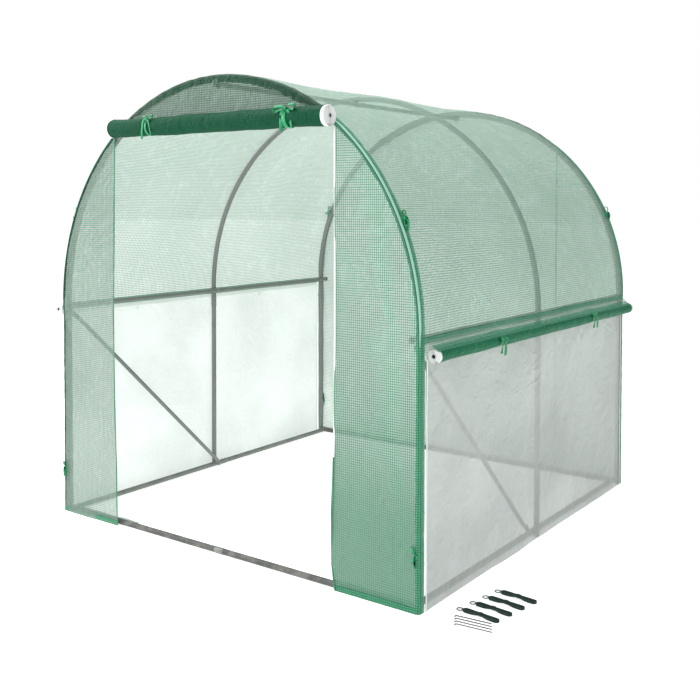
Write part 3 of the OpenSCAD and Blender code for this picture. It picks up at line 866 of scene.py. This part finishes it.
class TUNNEL_OT_roof(bpy.types.Operator):
    """Make the roof sheet: one grid cover over the three hoops, with its border strips down the end legs"""

    bl_idname = "tunnel.roof"
    bl_label = "Roof cover"

    def execute(self, context):
        setup, tint = sizes(), colours()
        low, high = -down_to(0.001), down_to(0.001)
        left, right = -down_to(ROLL_Z[-1]), down_to(ROLL_Z[1])
        s = steps(low, left, right, high, step=0.0125)
        t = steps(0, CORNER, BORDER, SHELL_LENGTH - BORDER, SHELL_LENGTH - CORNER, SHELL_LENGTH, step=0.0118)
        bend = np.linspace(0, CORNER, 6)
        t = np.unique(np.concatenate([t, bend, SHELL_LENGTH - bend]))
        S, T = mesh_grid(s, t)
        y = shell(S, T, 0.0)[..., 1]
        free = hoop_keep(y)
        inside = smooth(np.minimum(T, SHELL_LENGTH - T) / 0.08)
        bay = np.sin(math.pi * np.clip((y - HOOP_Y[0]) / (HOOP_Y[1] - HOOP_Y[0]), 0, 2)) ** 2
        roofed = smooth((SHEET_R * QUARTER + 0.05 - np.abs(S)) / 0.5)
        out = -setup.roof_sag * bay * (0.25 + 0.75 * roofed)
        out += setup.wrinkle * 0.5 * waves(S, T, 3, 14, 0.16, 0.7) * free
        out += setup.crease * creases(S, T, 5, 90, 0.22, 0.010) * (0.25 + 0.75 * free)
        out += setup.crease * 1.1 * creases(S, T, 6, 40, 0.5, 0.009, (QUARTER - 0.1, QUARTER + 0.1)) * free
        for side in (-1, 1):
            for end in (0, SHELL_LENGTH):
                tie = (side * (QUARTER - TIE_TURN) * SHEET_R, end)
                out += 0.003 * gathers(S, T, tie, 9, 0.16) * free
        out *= inside
        out = np.maximum(out, -0.0022 - 0.022 * free)
        mid_s, mid_t = middles(S), middles(T)
        over = (mid_s > left) & (mid_s < right)
        border = (mid_t < BORDER) | (mid_t > SHELL_LENGTH - BORDER)
        cover = woven_sheet("green_grid_cover", tint.thread, tint.cell, 0.25, 0.84, 0.34, glow=(0.52, 0.04))
        patches = [patch(shell(S, T, out), together(S, T), keep=over | border)]
        piece = make_piece("roof_cover", patches, [cover],
                           ["roof_cover_front_bay", "roof_cover_rear_bay"])
        round(flat_area(patches), 3)
        return {"FINISHED"}


def end_y(front, out):
    """The y of a point of an end's sheet that stands out by some distance from its flat face."""
    return FRONT_Y - out if front else REAR_Y + out


def outline_x(z):
    """Half the width of the end's flat face at a height."""
    up = np.clip(z - ARCH_Z, 0, OUTLINE_R)
    return np.sqrt(OUTLINE_R**2 - up**2)


def cap_bumps(x, z):
    """Where the rails' caps press a sheet out."""
    return sum(0.0035 * np.exp(-(np.hypot(x - cx, z - cz) / 0.022) ** 2) for cx, cz in CAP_PLACES)


class TUNNEL_OT_ends(bpy.types.Operator):
    """Make the front and rear panels, gables and the zipped rear door"""

    bl_idname = "tunnel.ends"
    bl_label = "End panels"

    def execute(self, context):
        setup, tint = sizes(), colours()
        # painted shade: the end panels' cells are a darker, greyer copy of the cover's cells, and the front
        # right panel's cells a lighter copy that darkens towards the ground
        pale = times(tint.cell, 0.66, 0.50, 0.58)
        front_right_shaded_cells = times(tint.cell, 0.78, 0.74, 0.76)
        panel = woven_sheet("green_grid_panel", tint.thread, pale, 0.26, 0.90, 0.50, glow=(1.05, 0.04))
        near = woven_sheet("deep_grid_panel", tint.thread, front_right_shaded_cells, 0.27, 0.92, 0.48, glow=(0.45, 0.12),
                           deeper=0.57)
        # painted shade: the front gable is a much darker copy of the grid cloth
        gable = woven_sheet("shaded_gable_grid", times(tint.thread, 0.35), times(tint.cell, 0.20, 0.26, 0.22), 0.30,
                            0.92, 0.64, glow=(0.3, 0.0))
        for front, end in ((True, "front"), (False, "rear")):
            for side, name in ((-1, "left"), (1, "right")):
                seed = 20 + 2 * front + (side > 0)
                z = steps(0.0, ARCH_Z, DOOR_TOP, step=0.0115)
                f = np.linspace(0, 1, 34)
                Z, F = mesh_grid(z, f)
                edge = DOOR_X + 0 * Z
                if front:
                    edge = edge + door_edge(Z, side)
                x = edge + (np.maximum(outline_x(Z), edge) - edge) * F
                free = smooth(F / 0.25) * 0.4 + 0.6
                pinned = smooth((1 - F) / 0.2)
                out = setup.wrinkle * 0.8 * waves(x, Z, seed, 9, 0.18, 0.7) * pinned * free
                out += setup.crease * 0.7 * creases(x, Z, seed + 7, 26, 0.3, 0.010) * pinned
                if front:
                    out += 0.006 * np.exp(-F / 0.12) * np.sin(Z * 9.0 + side) * smooth(Z / 0.2)
                out = np.maximum(out, INWARD) + cap_bumps(side * x, Z)
                at = together(side * x, end_y(front, out), Z)
                patches = [patch(at, together(side * x, Z), flip=(side < 0) != front)]
                if front:
                    patches.append(self.flap(side, seed))
                cloth = near if front and side > 0 else panel
                piece = make_piece(f"{end}_{name}_sheet", patches, [cloth],
                                   [f"{end}_{name}_panel"])
                round(flat_area(patches), 3)
            self.gable(front, end, gable if front else panel, setup)
        self.door(panel, setup)
        return {"FINISHED"}

    def flap(self, side, seed):
        """The hem turned in on the ground behind the front rail, with a free wavy edge."""
        inner = abs(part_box("front_right_panel")[0].x)
        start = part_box("front_left_panel")[1].y - 0.058
        u, v = mesh_grid(np.linspace(0, 1, 36), np.linspace(0, 1, 10))
        x = inner + (0.955 - inner) * u
        y = start + 0.056 * v * (0.96 + 0.04 * np.sin(x * 40))
        z = 0.0012 + 0.0035 * v * (0.5 + 0.5 * waves(x, y, seed, 6, 0.05, 0.2)) * smooth(v / 0.3)
        return patch(together(side * x, y, np.maximum(z, 0.0006)),
                     together(side * x, y), flip=side < 0)

    def gable(self, front, end, panel, setup):
        """The sheet above the doorway, up to the arch."""
        half = math.sqrt(OUTLINE_R**2 - (GABLE_Z - ARCH_Z) ** 2)
        f, g = mesh_grid(np.linspace(-1, 1, 109), np.linspace(0, 1, 20))
        x = half * np.sin(f * QUARTER)
        high = ARCH_Z + np.sqrt(OUTLINE_R**2 - x**2)
        z = GABLE_Z + (high - GABLE_Z) * g
        pinned = smooth((1 - g) / 0.3)
        out = setup.wrinkle * 0.7 * waves(x, z, 31 + front, 9, 0.15, 0.6) * pinned
        out += setup.crease * 0.8 * creases(x, z, 33 + front, 22, 0.25, 0.010) * pinned
        out = np.maximum(out, INWARD) + cap_bumps(x, z)
        at = together(x, end_y(front, out), z)
        patches = [patch(at, together(x, z), flip=not front)]
        piece = make_piece(f"{end}_gable_sheet", patches, [panel], [f"{end}_gable"])
        round(flat_area(patches), 3)

    def door(self, panel, setup):
        """The closed rear door between its zips."""
        x, z = mesh_grid(np.linspace(-DOOR_X, DOOR_X, 101), np.linspace(0, GABLE_Z, 145))
        pinned = smooth((DOOR_X - np.abs(x)) / 0.08)
        out = setup.wrinkle * waves(x, z, 51, 10, 0.25, 0.9) * pinned
        out += setup.crease * 0.8 * creases(x, z, 52, 60, 0.3, 0.010) * pinned
        out = np.maximum(out, INWARD)
        patches = [patch(together(x, end_y(False, out), z), together(x, z), flip=True)]
        piece = make_piece("rear_door_sheet", patches, [panel], ["rear_door"])


def door_edge(z, side):
    """How far a front panel's free edge stands past the doorway's line: it bows as it hangs."""
    if side < 0:
        return np.interp(z, (0, 0.25, 0.6, 1.0, 1.4, 1.8), (-0.006, -0.002, 0.010, 0.014, 0.006, 0.0))
    return np.interp(z, (0, 0.1, 0.3, 0.6, 1.0, 1.4, 1.8), (0.004, -0.010, -0.012, 0.0, 0.003, 0.002, 0.0))


class TUNNEL_OT_films(bpy.types.Operator):
    """Make the two clear side films and their white edges"""

    bl_idname = "tunnel.films"
    bl_label = "Side films"

    def execute(self, context):
        setup = sizes()
        film, tape = clear_film(), woven_tape("white_edge_tape", colours().tape)
        for side, name in ((-1, "left"), (1, "right")):
            low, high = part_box(f"{name}_side_film")
            y, z = mesh_grid(steps(low.y, high.y, step=0.013), steps(0.0, high.z, step=0.0135))
            held = smooth((y - low.y) / 0.06) * smooth((high.y - y) / 0.06)
            free = 1 - np.exp(-(((y - HOOP_Y[1]) / 0.04) ** 2))
            out = setup.wrinkle * 1.1 * waves(y, z, 61 + side, 12, 0.2, 0.9) * held * free
            out += setup.crease * 0.9 * creases(y, z, 63 + side, 70, 0.3, 0.010) * held
            for tie in (-TIE_REACH, TIE_REACH):
                out += 0.003 * gathers(y, z, (HOOP_Y[1] + tie, high.z), 8, 0.2) * held
            face = abs(low.x if side > 0 else high.x) + 0.001
            x = side * (face + np.maximum(out, -0.0012))
            patches = [patch(together(x, y, z), together(y, z), flip=side < 0)]
            piece = make_piece(f"{name}_film_sheet", patches, [film], [f"{name}_side_film"])
            strips = []
            for at in (low.y, high.y):
                w, z2 = mesh_grid(np.linspace(-0.5, 0.5, 5), steps(0.0, high.z - 0.012, step=0.012))
                wide = setup.tape * 0.62 * (1 + 0.25 * np.sin(z2 * 2 * math.pi / 0.034) * (w > 0.3))
                yy = at + w * wide + 0.0015 * waves(z2, z2 * 0, 70 + side, 4, 0.1, 0.4)
                lift = 0.0030 + 0.0012 * np.cos(w * math.pi)
                strips.append(patch(together(side * (face + lift), yy, z2),
                                    together(w * setup.tape, z2), flip=side < 0))
            edge = make_piece(f"{name}_film_tapes", strips, [tape])
            thicken(edge, 0.0012)
        return {"FINISHED"}


def thicken(piece, thickness):
    """Gives a strip its thickness, outwards from its surface."""
    modifier = piece.modifiers.new("thickness", "SOLIDIFY")
    modifier.thickness = thickness
    modifier.offset = 1.0
    modifier.use_even_offset = True


class RollPlace:
    """Where a roll lies: its start, its length, and the ways along it, outwards and up."""

    def __init__(self, node, along, out):
        self.length = size_of(node)[abs(np.array(along)).argmax()]
        self.radius = size_of(node)[2] / 2
        self.along, self.out, self.up = np.array(along), np.array(out), np.array((0.0, 0.0, 1.0))
        self.start = middle_of(node) - self.along * self.length / 2

    def point(self, w, turn, r):
        w, turn, r = (np.asarray(v, float)[..., None] for v in np.broadcast_arrays(w, turn, r))
        return self.start + w * self.along + r * (np.cos(turn) * self.out + np.sin(turn) * self.up)


ROLLS = {
    "door_roll": RollPlace("door_roll", (1.0, 0, 0), (0, -1.0, 0)),
    "left_curtain_roll": RollPlace("left_curtain_roll", (0, 1.0, 0), (-1.0, 0, 0)),
    "right_curtain_roll": RollPlace("right_curtain_roll", (0, 1.0, 0), (1.0, 0, 0)),
}
DOOR_TIES = [x - ROLLS["door_roll"].start[0] for x in (-0.335, 0.445)]
CURTAIN_TIES = {side: [HOOP_Y[1] + reach - ROLLS[name].start[1] for reach in (-TIE_REACH, TIE_REACH)]
                for side, name in ((-1, "left_curtain_roll"), (1, "right_curtain_roll"))}


class TUNNEL_OT_rolls(bpy.types.Operator):
    """Make the rolled-up door and side curtains as spirals of sheet with white edges"""

    bl_idname = "tunnel.rolls"
    bl_label = "Rolled door and curtains"

    def execute(self, context):
        setup, tint = sizes(), colours()
        rolled = woven_sheet("rolled_green_cover", times(tint.roll, 0.5), tint.roll, 0.3, 1.0, 1.0,
                             gloss=0.48, glow=(0.0, 0.10), shine=0.10)
        loose = woven_sheet("rolled_curtain_cover", tint.roll, times(tint.roll, 2.0), 0.3, 1.0, 1.0,
                            gloss=0.45, glow=(0.0, 0.16), shine=0.14)
        edge = bpy.data.materials["white_edge_tape"]
        self.roll("door_roll", setup.door_layer, DOOR_TIES, rolled, edge, QUARTER * 1.15, 1.75)
        self.roll("left_curtain_roll", setup.curtain_layer, CURTAIN_TIES[-1], loose, edge, 2.6, 0.93)
        self.roll("right_curtain_roll", setup.curtain_layer, CURTAIN_TIES[1], loose, edge, 2.6, 0.93)
        core = hard_finish("white_core_tube", srgb(198, 200, 198), 0.4, 0.0, srgb(190, 190, 188), 0.3)
        finish_nodes(core, "door_roll_core", "left_curtain_core", "right_curtain_core")
        dark = hard_finish("shaded_bore", srgb(12, 14, 13), 0.8, 0.0, srgb(26, 28, 27), 0.3)
        # painted shade: dark plugs in each end of the core tubes' bores stand for the shade inside them
        bore_shade_plugs = []
        turn = np.linspace(0, 2 * math.pi, 29)
        R = mesh_grid([0.0, 0.0079, 0.0079, 0.0], turn)[0]
        for place in ROLLS.values():
            for low, high in ((0.0, 0.03), (place.length - 0.03, place.length)):
                W, A = mesh_grid([low, low, high, high], turn)
                bore_shade_plugs.append(patch(place.point(W, A, R), together(W, A * 0.01)))
        make_piece("core_bore_shade_plugs", bore_shade_plugs, [dark], closed=True)
        return {"FINISHED"}

    def roll(self, node, layer, ties, rolled, edge, lip_turn, flat_length):
        """A spiral whose radius grows by one layer a turn, drawn in at its ties and lifted at its edge."""
        place = ROLLS[node]
        inner, outer = 0.0106, place.radius - 0.0008
        turns = (outer - inner) / layer
        a = np.linspace(0, turns * 2 * math.pi, int(turns * 30))
        thick = layer * 0.62
        white = 0.018
        w = steps(0.0, white, *[v for tie in ties for v in (tie - 0.05, tie, tie + 0.05)],
                  place.length - white, place.length, step=0.030)
        w = np.unique(np.round(w, 6))
        profile_turn = np.concatenate([a, a[::-1], a[:1]])
        mid = inner + layer * profile_turn / (2 * math.pi)
        half = np.concatenate([np.full(len(a), thick / 2), np.full(len(a), -thick / 2), [thick / 2]])
        P, W = mesh_grid(np.arange(len(profile_turn)), w)
        share = ((mid - inner) / (outer - inner))[P]
        draw = sum(np.exp(-(((W - tie) / 0.030) ** 2)) for tie in ties)
        seed = len(node)
        swell = 0.0016 * waves(W, mid[P] * 0 + profile_turn[P] * 0.05, seed, 7, 0.15, 0.6)
        lip = np.exp(-((profile_turn[P] - a[-1]) / 0.28) ** 2) * 0.0028
        change = share**2 * (swell - 0.0042 * draw + creases(W, profile_turn[P] * 0.02, seed, 60, 0.10,
                                                             0.004, (-0.2, 0.2)) * 0.0011)
        lip *= 1 - np.clip(draw, 0, 1)
        angle = profile_turn[P] - a[-1] + lip_turn
        at = place.point(W, angle, mid[P] + half[P] + change + lip * (share > 0.9))
        far = np.concatenate([[0], np.cumsum(np.hypot(np.diff(mid), mid[:-1] * np.diff(profile_turn)))])
        uv = together(W, far[P])
        mid_w = middles(W)
        paint = ((mid_w < white) | (mid_w > place.length - white)).astype(int)
        patches = [patch(at, uv, paint=paint)]
        n = len(a)
        for end in (0, -1):
            ring = at[:, end]
            face = np.stack([ring[:n], ring[n:2 * n][::-1]])
            flat = np.stack([together(far[:n], np.zeros(n)), together(far[:n], np.full(n, thick))])
            patches.append(patch(face, flat, paint=1))
        piece = make_piece(node + "_sheet", patches, [rolled, edge], [node], closed=True)


class TUNNEL_OT_hems(bpy.types.Operator):
    """Make the hems along the arches and rails, the painted highlight strips with their painted fold shadows
    along the arches, the zips and the curtains' upper folds
    """

    bl_idname = "tunnel.hems"
    bl_label = "Hems, zips and folds"

    def execute(self, context):
        setup, tint = sizes(), colours()
        hem = woven_sheet("green_hem", tint.hem, times(tint.cell, 0.20, 0.56, 0.40), 0.40, 0.92, 0.60,
                          glow=(0.2, 0.12))
        tape = bpy.data.materials["white_edge_tape"]
        shaded = woven_sheet("shaded_green_hem", times(tint.hem, 0.3), times(tint.hem, 0.5), 0.40,
                             0.92, 0.70, glow=(0.1, 0.03), shine=0.2)
        # painted highlight: a pale strip along each arch stands for the shine on the sheet's rounded edge
        # over the hoop
        highlight_strip_finish = woven_tape("painted_highlight_strip", srgb(150, 205, 184))
        # painted shadow: a dark finish for the fold's shadow on the strip's panel side
        fold_shadow_finish = woven_tape("painted_fold_shadow", srgb(30, 84, 64))
        for end, name in ((0.0, "front"), (1.0, "rear")):
            s = steps(-down_to(0.002), down_to(0.002), step=0.009)
            scallop = 0.0025 * np.abs(np.sin(s * math.pi / 0.031)) + 0.002 * waves(s, s * 0, 80, 6, 0.05, 0.3)
            t = np.linspace(0, 1, 16)
            S, F = mesh_grid(s, t)
            reach = 0.004 + 0.017 * smooth((0.62 - np.abs(S)) / 0.12)
            T = -reach + (reach + CORNER + setup.hem) * F
            T = T + scallop[:, None] * smooth((F - 0.8) / 0.2) - scallop[:, None] * smooth((0.2 - F) / 0.2)
            lift = 0.0012 + 0.0005 * waves(S, T, 82, 6, 0.04, 0.15)
            along = T if end == 0 else SHELL_LENGTH - T
            crown = (S[:-1, :-1] < 0.60).astype(int)
            strip = patch(shell(S, along, lift), together(S, T), flip=end > 0, paint=crown)
            make_piece(f"{name}_arch_hem", [strip], [hem, shaded])
            # painted highlight strips along each arch's corner, with a painted fold shadow on their panel
            # side
            highlight_strips = []
            for side in (-1, 1):
                last = SHEET_R * QUARTER + 0.04
                s = steps(side * 0.66, side * last, step=0.010)
                S, F = mesh_grid(s, np.linspace(0, 1, 6))
                fade = smooth((np.abs(S) - 0.66) / 0.08) * smooth((last - np.abs(S)) / 0.08)
                T = CORNER * 0.42 + (0.3 + 0.7 * fade) * 0.012 * (F - 0.5)
                along = T if end == 0 else SHELL_LENGTH - T
                # painted shadow: the quarter of rows nearest the panel take the dark finish
                fold_shadow_rows = (F[:-1, :-1] < 0.25).astype(int)
                highlight_strips.append(patch(shell(S, along, 0.0026 + 0.0012 * np.sin(F * math.pi)),
                                    together(S, T), flip=(side < 0) != (end > 0), paint=fold_shadow_rows))
            edge = make_piece(f"{name}_arch_highlight_strip", highlight_strips, [highlight_strip_finish, fold_shadow_finish])
            thicken(edge, 0.0008)
        self.rail_hems(hem)
        self.zips(tape, hem)
        self.bottom_hems(hem)
        return {"FINISHED"}

    def rail_hems(self, hem):
        """Bands along the side rails, and each curtain's last stretch from its band down over its roll."""
        cover = bpy.data.materials["green_grid_cover"]
        for side, name in ((-1, "left"), (1, "right")):
            y0, y1 = FRONT_Y + 0.012, REAR_Y - 0.012
            y, f = mesh_grid(steps(y0, y1, step=0.010), np.linspace(0, 1, 5))
            z = RAIL_Z - 0.012 + 0.024 * f + 0.0012 * waves(y, y * 0, 90, 5, 0.1, 0.5)
            x = side * (SHEET_R + 0.0022 + 0.0006 * waves(y, z, 91, 6, 0.03, 0.2))
            band = make_piece(f"{name}_rail_hem",
                              [patch(together(x, y, z), together(y, z), flip=side < 0)],
                              [hem])
            place = ROLLS[f"{name}_curtain_roll"]
            w0 = max(0.0, y0 - place.start[1])
            w, f = mesh_grid(steps(w0, min(place.length, y1 - place.start[1]), step=0.011),
                             np.linspace(0, 1, 12))
            yy = place.start[1] + w
            draw = sum(np.exp(-(((w - tie) / 0.07) ** 2)) for tie in CURTAIN_TIES[side])
            roll_x, roll_z = abs(place.start[0]), place.start[2]
            reach = np.minimum(f * 1.35, 1.0)
            turn = QUARTER * (1.25 - 0.75 * smooth(f))
            r = place.radius + 0.0014
            goal_x, goal_z = roll_x + r * np.cos(turn), roll_z + r * np.sin(turn)
            top_x, top_z = SHEET_R + 0.0034, RAIL_Z - 0.004
            x = top_x + (goal_x - top_x) * smooth(reach)
            z = top_z + (goal_z - top_z) * smooth(reach)
            belly = np.sin(math.pi * np.clip(f / 0.8, 0, 1)) * (1 - np.clip(draw, 0, 1))
            folds = np.sin(f * 3 * math.pi + 0.8 * np.sin(w * 5)) * belly
            x = x + 0.005 * belly + 0.0028 * folds
            z = z - 0.003 * belly
            at = together(side * x, yy, z)
            dark = (middles(f) > 0.40).astype(int)
            cloth = patch(at, together(w, f * 0.09), flip=side > 0, paint=dark)
            upper = make_piece(f"{name}_curtain_top", [cloth], [cover, hem])

    def zips(self, tape, hem):
        """Narrow bound edges beside both doorways, with a row of teeth."""
        top = DOOR_TOP - 0.01
        white, green = [], []
        for front in (True, False):
            for side in (-1, 1):
                split = 0.52 if front and side > 0 else (top if front else 0.0)
                for low, high, made in ((0.004, split, green), (split, top, white)):
                    if high - low < 0.02:
                        continue
                    z, f = mesh_grid(steps(low, high, step=0.010), np.linspace(0, 1, 7))
                    shift = door_edge(z, side) if front else 0 * z
                    x = side * (DOOR_X + shift - 0.003 + 0.0075 * f)
                    out = 0.0022 + 0.0016 * np.sin(f * math.pi) + 0.0003 * np.sin(z * 2 * math.pi / 0.02)
                    at = together(x, end_y(front, out), z)
                    made.append(patch(at, together(x, z), flip=(side < 0) != front))
        thicken(make_piece("door_zip_tapes", white, [tape]), 0.0008)
        thicken(make_piece("door_edge_bindings", green, [hem]), 0.0008)

    def bottom_hems(self, hem):
        """Turned-up bands along the ground on the end panels and the rear door."""
        strips = []
        for front in (True, False):
            for low, high in ((-OUTLINE_R, -DOOR_X), (DOOR_X, OUTLINE_R)) + (
                    () if front else ((-DOOR_X, DOOR_X),)):
                x, f = mesh_grid(steps(low, high, step=0.012), np.linspace(0, 1, 4))
                z = 0.001 + 0.024 * f + 0.0012 * waves(x, x * 0, 97, 5, 0.08, 0.3) * f
                out = 0.0016 + 0.0005 * waves(x, z, 98, 6, 0.03, 0.1)
                strips.append(patch(together(x, end_y(front, out), z),
                                    together(x, z), flip=not front))
        make_piece("ground_hems", strips, [hem])


def band_patches(line, across, width, thickness):
    """A flat band along a line: its width lies along 'across', its thickness square to both, ends closed."""
    ahead = unit(np.gradient(line, axis=0))
    across = unit(across - (across * ahead).sum(1)[:, None] * ahead)
    face = np.cross(ahead, across)
    far = run_of(line)
    ring = np.array([(-0.5, -0.5), (0.5, -0.5), (0.5, 0.5), (-0.5, 0.5), (-0.5, -0.5)])
    wide = np.broadcast_to(np.asarray(width, float).reshape(-1, 1), (len(line), 1))
    body = (line[:, None] + across[:, None] * ring[None, :, :1] * wide[:, :, None]
            + face[:, None] * ring[None, :, 1:] * thickness)
    around = np.array([0, 1, 1, 2, 2.0])
    uv = together(far[:, None], around[None] * float(np.mean(wide)))
    made = [patch(body, uv)]
    for end in (0, -1):
        cap = np.stack([body[end][[0, 1]], body[end][[3, 2]]])
        made.append(patch(cap, np.zeros((2, 2, 2)), flip=end == 0))
    return made


def tie_patches(centre, axis, out, radius, turn, width, seed, wrap=2 * math.pi, tail=0.055, bow=0.030):
    """One tie: a band round a bar, a knot where it meets, two bow loops and two hanging tails.

    Out is the way that turn 0 points, and turn goes from it towards up.
    """
    rng = np.random.default_rng(seed)
    thickness = 0.0009
    up = np.array((0.0, 0.0, 1.0))
    if abs(axis @ up) > 0.5:
        up = np.cross(axis, out)
    a = np.linspace(turn - wrap / 2, turn + wrap / 2, 60)
    r = radius + 0.0012
    line = centre + r * (np.cos(a)[:, None] * out + np.sin(a)[:, None] * up)
    line = line + axis * (0.0025 * np.sin(a - turn))[:, None]
    squeeze = width * (0.78 + 0.22 * np.abs(np.sin((a - turn) / 2)))
    made = band_patches(line, np.broadcast_to(axis, line.shape), squeeze, thickness)
    away = math.cos(turn) * out + math.sin(turn) * up
    side = -math.sin(turn) * out + math.cos(turn) * up
    base = centre + away * (r + 0.004)
    b = np.linspace(0, 2 * math.pi, 26)
    knot = base + 0.0052 * (np.cos(b)[:, None] * away + np.sin(b)[:, None] * side)
    made += band_patches(knot, np.broadcast_to(axis, knot.shape), width * 0.7, 0.0022)
    down = np.array((0.0, 0.0, -1.0))
    for way in (-1, 1):
        tilt = rng.uniform(-0.5, 0.5)
        reach = bow * rng.uniform(0.85, 1.2)
        dirn = axis * way * math.cos(tilt) + side * math.sin(tilt)
        loop = curve_through([base, base + dirn * reach * 0.45 + away * reach * 0.35,
                              base + dirn * reach + away * reach * 0.30,
                              base + dirn * reach * 0.9 - side * 0.004 + away * 0.002,
                              base + dirn * reach * 0.4 - side * 0.002 + away * 0.001, base], 34)
        made += band_patches(loop, np.broadcast_to(side, loop.shape), width * 0.75, thickness)
        length = tail * rng.uniform(0.8, 1.15)
        lean = axis * way * rng.uniform(0.15, 0.5)
        points = [base, base + lean * length * 0.3 + away * 0.010 + down * length * 0.12,
                  base + lean * length * 0.6 + away * 0.012 + down * length * 0.5,
                  base + lean * length * 0.8 + away * 0.008 + down * length]
        hang = curve_through(points, 24)
        twist = np.linspace(0, rng.uniform(0.5, 1.6) * way, 24)[:, None]
        flat = np.cos(twist) * axis + np.sin(twist) * away
        made += band_patches(hang, flat, width * 0.7, thickness)
    return made


class TUNNEL_OT_ties(bpy.types.Operator):
    """Make the ribbon ties of the rolls and of the end hoops"""

    bl_idname = "tunnel.ties"
    bl_label = "Ribbon ties"

    def execute(self, context):
        width = sizes().ribbon
        ribbon = tie_ribbon()
        made = []
        place = ROLLS["door_roll"]
        for tie, turn, seed, wide, bow in zip(DOOR_TIES, (0.8, 0.9), (101, 102), (0.75, 1.25),
                                              (0.030, 0.046)):
            made += tie_patches(place.start + place.along * tie, place.along, place.out, place.radius - 0.003,
                                turn, width * wide, seed, tail=0.085, bow=bow)
        for side, name in ((-1, "left_curtain_roll"), (1, "right_curtain_roll")):
            place = ROLLS[name]
            for tie, seed in zip(CURTAIN_TIES[side], (110 + side, 113 + side)):
                made += tie_patches(place.start + place.along * tie, place.along, place.out,
                                    place.radius - 0.003, 0.5, width, seed, tail=0.065, bow=0.026)
        make_piece("roll_tie_ribbons", made, [ribbon], ["roll_ties"], closed=True)
        made = []
        for y, way in ((HOOP_Y[0], -1), (HOOP_Y[2], 1)):
            for side in (-1, 1):
                for high in (True, False):
                    out = np.array((side * math.cos(TIE_TURN), 0, math.sin(TIE_TURN))) if high else (
                        np.array((0, way * 1.0, 0)))
                    centre = (np.array((0, y, ARCH_Z)) + out * HOOP_R if high else
                              np.array((side * HOOP_R, y, 0.215)))
                    axis = np.array((-math.sin(TIE_TURN) * side, 0, math.cos(TIE_TURN))) if high else (
                        np.array((0, 0, 1.0)))
                    made += tie_patches(centre, axis, out, SHEET_R - HOOP_R + 0.003, 0.0, width,
                                        int(120 + 10 * y + side + 5 * high), wrap=2.6, tail=0.034, bow=0.030)
        make_piece("hoop_tie_ribbons", made, [ribbon], ["hoop_ties"], closed=True)
        return {"FINISHED"}


class TUNNEL_PT_panel(bpy.types.Panel):
    """Lists the tunnel's settings and its operators"""

    bl_idname = "TUNNEL_PT_panel"
    bl_label = "Walk-in polytunnel"
    bl_space_type = "VIEW_3D"
    bl_region_type = "UI"
    bl_category = "Polytunnel"

    def draw(self, context):
        for group in (context.scene.tunnel_sizes, context.scene.tunnel_colours):
            box = self.layout.box()
            for name in group.__annotations__:
                box.prop(group, name)
        for operator in OPERATORS:
            self.layout.operator(operator.bl_idname)


OPERATORS = (TUNNEL_OT_stage, TUNNEL_OT_ropes, TUNNEL_OT_tubes, TUNNEL_OT_roof, TUNNEL_OT_ends,
             TUNNEL_OT_films, TUNNEL_OT_rolls, TUNNEL_OT_hems, TUNNEL_OT_ties)
CLASSES = (TunnelSizes, TunnelColours, *OPERATORS, TUNNEL_PT_panel)


def register():
    for item in CLASSES:
        bpy.utils.register_class(item)
    bpy.types.Scene.tunnel_sizes = bpy.props.PointerProperty(type=TunnelSizes)
    bpy.types.Scene.tunnel_colours = bpy.props.PointerProperty(type=TunnelColours)


def unregister():
    del bpy.types.Scene.tunnel_colours
    del bpy.types.Scene.tunnel_sizes
    for item in reversed(CLASSES):
        bpy.utils.unregister_class(item)


def main():
    register()
    for operator in OPERATORS:
        group, name = operator.bl_idname.split(".")
        getattr(getattr(bpy.ops, group), name)()


if __name__ == "__main__":
    main()
